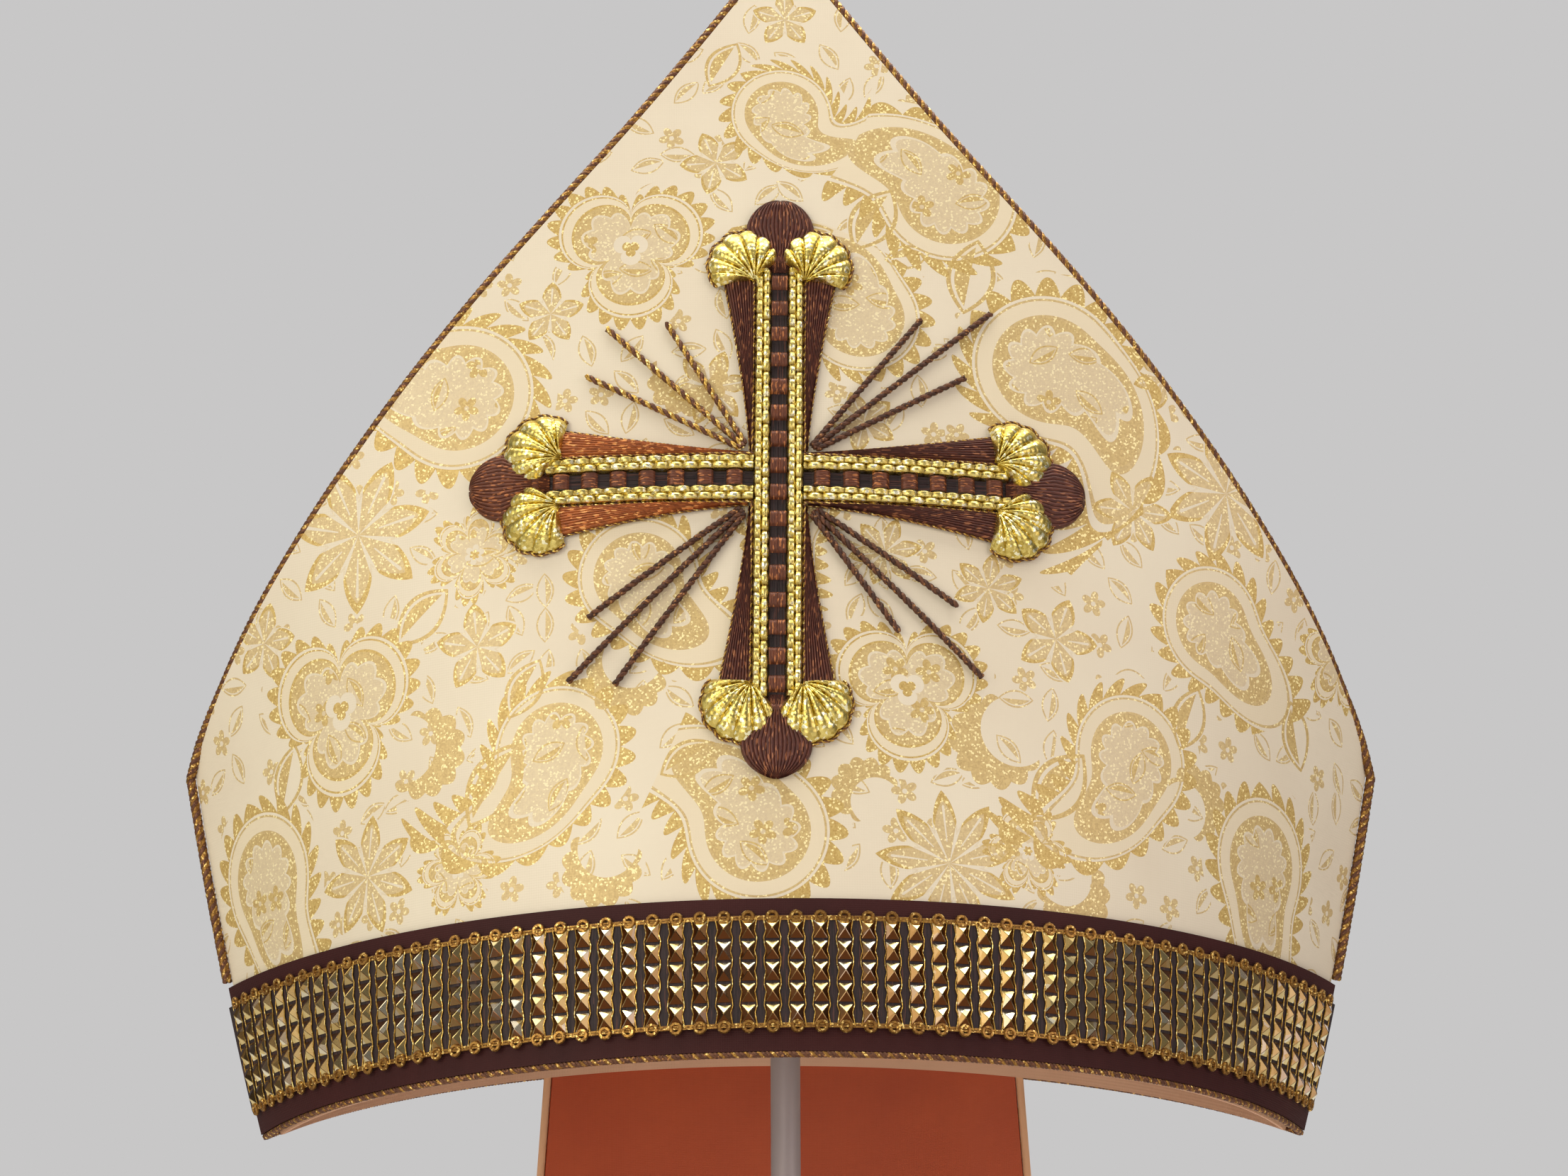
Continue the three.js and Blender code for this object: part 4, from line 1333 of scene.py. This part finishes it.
hands = (("a", 1), ("b", -1))
outlines = []
for quarters, arm in enumerate(["top", "left", "bottom", "right"]):
    # The left arm takes the lighter silks, its flares and knob, as painted light from the left; the other
    # arms take the darker copy as painted shade
    flareLook, knobLook = ("brownSilk", "rungSilk") if arm == "left" else ("deepSilk", "deepSilk")
    for hand, side in hands:
        piece = makeFlare(f"flareSilk_{arm}_{hand}", quarters, side)
        finishPiece(piece, flareLook, [f"flare_{arm}_{hand}"], "thread")
        piece = makeShell(f"shellBullion_{arm}_{hand}", quarters, side)
        finishPiece(piece, "goldBullion", [f"scroll_{arm}_{hand}"], "thread")
        outlines += outlinesOf(quarters, side)
    piece = makeKnob(f"knobSilk_{arm}", quarters)
    finishPiece(piece, knobLook, [f"knob_{arm}"], "thread")
beams = [("upright", 0, -cross["railEnd"]), ("left", 1, railHalf), ("right", 3, railHalf)]
for arm, quarters, start in beams:
    for hand, side in hands:
        piece = makeRail(f"railBullion_{arm}_{hand}", quarters, side, start)
        finishPiece(piece, "railBullion", [f"rail_{arm}_{hand}"], "thread")
    first = start - ladderSizes["past"] if arm == "upright" else start
    piece = makeLadder(f"ladderSilk_{arm}", quarters, first)
    finishPiece(piece, ["darkSilk", "rungSilk"], [f"ladder_{arm}"], "thread")
outlineTwist = outlineSizes["radius"], [0, 1], outlineSizes["pitch"], outlineSizes["perTurn"]
for number, line in enumerate(outlines):
    cord = twistedCord(f"outline_{number}", line, *outlineTwist)
    finishPiece(cord, ["umberThread", "goldThread"], kind="thread")

# Rays: thin twists from the inner corners outwards, each from across and up to across and up
rays = {
    "ne_inner": (8.6, 10.3, 30.9, 38.8), "ne_middle": (9.4, 8.9, 46.3, 41.3),
    "ne_outer": (11.4, 8.2, 40.4, 25.5), "nw_inner": (-8.6, 11.2, -24.5, 36.7),
    "nw_middle": (-9.4, 9.4, -37.5, 35.7), "nw_outer": (-11.4, 8.2, -41.7, 24.5),
    "sw_outer": (-11.4, -8.2, -39.8, -30.7), "sw_middle": (-9.4, -9.6, -43.8, -44.6),
    "sw_inner": (-8.6, -11.6, -33.8, -45.9), "se_outer": (11.4, -8.2, 38.1, -27.4),
    "se_middle": (9.4, -9.6, 43.2, -42.7), "se_inner": (8.6, -11.6, 25.5, -34),
}
rayLook = {"radius": 0.76, "pitch": 3.0, "perTurn": 8, "out": 0.62, "corner": 6.3, "drawn": 0.65, "steps": 8}
rayTwist = rayLook["radius"], [0, 1], rayLook["pitch"], rayLook["perTurn"]
for name, (x0, y0, x1, y1) in rays.items():
    x0 = lerp(x0, math.copysign(rayLook["corner"], x0), rayLook["drawn"])
    y0 = lerp(y0, math.copysign(rayLook["corner"], y0), rayLook["drawn"])
    shares = evenly(0, 1, rayLook["steps"])
    line = [onCross(lerp(x0, x1, share), lerp(y0, y1, share), rayLook["out"]) for share in shares]
    ray = twistedCord(f"rayCord_{name}", line, *rayTwist)
    pair = ["umberThread", "goldThread"] if name.startswith("nw") else ["brownThread", "umberThread"]
    finishPiece(ray, pair, [f"ray_{name}"], "thread")
print("stage: cross made")

# Lappets: brocade behind, orange satin in front, hung from the back of the rim
lappet = {
    "width": 57.0, "gap": 1.5, "shift": 1.6, "drop": 330.0, "flare": 0.067, "cloth": 1.6, "liningCloth": 0.7,
    "liningGap": 0.3, "inset": 1.8, "topGap": 0.15, "flatten": 0.75, "start": 0.4, "grid": (24, 76),
    "sway": 0.9, "swayAcross": 11, "swayDown": 60, "pipe": 0.9, "pipeOut": 0.2,
}


def lappetSpot(side, s, t, depth, inset):
    drop = lerp(lappet["drop"] - inset, lappet["topGap"], t)
    inside = lappet["gap"] / 2 + side * lappet["shift"] + inset
    outside = inside + lappet["width"] + drop * lappet["flare"] - 2 * inset
    across = lerp(inside, outside, (s + 1) / 2)
    rim, middle = onHorn(across, 0, -depth), onHorn(0, 0, -depth)
    curve = (rim.y - middle.y) * (1 - lappet["flatten"] * drop / lappet["drop"])
    wave = math.sin(across / lappet["swayAcross"] + drop / lappet["swayDown"] + side)
    sway = lappet["sway"] / 1000 * (drop / lappet["drop"]) * wave
    return Vector((side * across / 1000, -(middle.y + curve) + sway, rim.z - drop / 1000)), across, drop


def makeLappet(name, side, depth, cloth, inset):
    def place(s, t):
        return lappetSpot(side, -side * s, t, depth, inset)[0]

    def flat(s, t):
        spot = lappetSpot(side, -side * s, t, depth, inset)
        return spot[1] * side, -spot[2]

    piece = layGrid(name, *lappet["grid"], place, flat)
    thicken(piece, cloth)
    return piece


inner = lappet["start"] + lappet["cloth"] + lappet["liningGap"]
for hand, side in (("left", -1), ("right", 1)):
    back = makeLappet(f"lappetBrocade_{hand}", side, lappet["start"], lappet["cloth"], 0)
    finishPiece(back, "brocadeLappet", [f"lappet_{hand}"])
    lining = makeLappet(f"lappetLining_{hand}", side, inner, lappet["liningCloth"], lappet["inset"])
    finishPiece(lining, "liningSatin", [f"lappet_lining_{hand}"])
    depth, pipe = inner + lappet["pipeOut"], lappet["pipe"]
    pipes = [[lappetSpot(side, edge, t, depth, pipe)[0] for t in evenly(0, 1, 40)] for edge in (-1, 1)]
    piping = wires(f"lappetPiping_{hand}", pipes, pipe, resolution=2)
    finishPiece(piping, "palePiping", kind="thread")
print("stage: lappets made")

# Stand: foot, pole and pad, turned round, with their edges rounded
stand = {
    "footRadius": 100.0, "footThick": 9.0, "poleRadius": 3.3, "padRadius": 42.0,
    "footEdge": 2.4, "poleEdge": 0.4, "padEdge": 1.6,
}
poleLow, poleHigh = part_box("stand_pole")
padLow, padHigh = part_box("stand_pad")


def turnedDisc(name, radius, low, high, edge, node):
    bpy.ops.object.select_all(action="DESELECT")
    bpy.ops.mesh.primitive_cylinder_add(vertices=96, radius=radius / 1000, depth=high - low)
    piece = bpy.context.object
    piece.name = name
    piece.data.transform(Matrix.Translation((0, 0, (low + high) / 2)))
    applyModifier(piece, "BEVEL", width=edge / 1000, segments=4, limit_method="ANGLE")
    return finishPiece(piece, "standSteel", [node], "metal")


turnedDisc("standFoot", stand["footRadius"], 0, stand["footThick"] / 1000, stand["footEdge"], "stand_foot")
turnedDisc("standPole", stand["poleRadius"], poleLow[2], poleHigh[2], stand["poleEdge"], "stand_pole")
turnedDisc("standPad", stand["padRadius"], padLow[2], padHigh[2], stand["padEdge"], "stand_pad")
print("stage: stand made")

# Plain studio: a pale floor that fades into a pale backdrop, and soft lights from all sides
studio = {
    "floor": linear(206, 202, 198), "backdrop": linear(200, 199, 199), "fade": (0.9, 2.6), "floorSize": 6,
    "dim": (0.06, 0.055, 0.055, 1), "bright": (0.38, 0.37, 0.36, 1), "skyFrom": -0.3, "skyTo": 0.9,
}
black = (0, 0, 0, 1)
bpy.ops.mesh.primitive_plane_add(size=studio["floorSize"])
floor = bpy.context.object
floor.name = "floor"
floorLook, tree, shader = newMaterial("paleFloor", Roughness=0.7)
away = vecCalc(tree, "LENGTH", addNode(tree, "ShaderNodeTexCoord").outputs["Object"])
seen = addNode(tree, "ShaderNodeLightPath").outputs["Is Camera Ray"]
fade = times(tree, softEdge(tree, away, *studio["fade"]), seen)
feed(tree, mixColour(tree, fade, studio["floor"], black), shader.inputs["Base Color"])
feed(tree, mixColour(tree, fade, black, studio["backdrop"]), shader.inputs["Emission Color"])
feed(tree, times(tree, calc(tree, "SUBTRACT", 1, fade), 0.5), shader.inputs["Specular IOR Level"])
shader.inputs["Emission Strength"].default_value = 1
floor.data.materials.append(floorLook)
floor.location.z = -0.0005  # just under the foot


def addLight(name, place, aim, size, power, colour):
    bpy.ops.object.light_add(type="AREA", location=place)
    light = bpy.context.object
    light.name = name
    light.data.shape = "RECTANGLE"
    light.data.size, light.data.size_y = size
    light.data.energy = power
    light.data.color = colour
    light.rotation_euler = (Vector(aim) - Vector(place)).to_track_quat("-Z", "Y").to_euler()


addLight("keyLight", (-1.25, -1.25, 1.15), (0, 0, 0.52), (1.1, 1.1), 12.5, (1.0, 0.95, 0.78))
addLight("topLight", (0.0, 0.15, 1.5), (0, 0, 0.5), (1.5, 1.2), 20, (1.0, 0.97, 0.9))
addLight("fillLight", (1.4, -1.3, 0.8), (0, 0, 0.52), (1.2, 1.2), 9.5, (1.0, 0.89, 0.87))
addLight("sideLight", (-1.9, -0.5, 0.6), (0, 0, 0.45), (1.0, 1.3), 2.5, (1.0, 0.96, 0.84))
addLight("lowLight", (-0.5, -1.5, 0.3), (0, 0, 0.35), (0.9, 0.5), 4, (1.0, 0.93, 0.86))
addLight("backLight", (0.6, 1.5, 1.2), (0, 0, 0.5), (1.2, 1.2), 11, (1.0, 0.97, 0.92))

world = bpy.data.worlds.new("studio")
bpy.context.scene.world = world
world.use_nodes = True
tree = world.node_tree
height = apartOf(tree, addNode(tree, "ShaderNodeTexCoord").outputs["Generated"])[2]
sky = softEdge(tree, height, studio["skyFrom"], studio["skyTo"])
glow = mixColour(tree, sky, studio["dim"], studio["bright"])
seen = addNode(tree, "ShaderNodeLightPath").outputs["Is Camera Ray"]
feed(tree, mixColour(tree, seen, glow, studio["backdrop"]), tree.nodes["Background"].inputs["Color"])
bpy.context.scene.view_settings.view_transform = "Standard"
print("stage: lights placed")
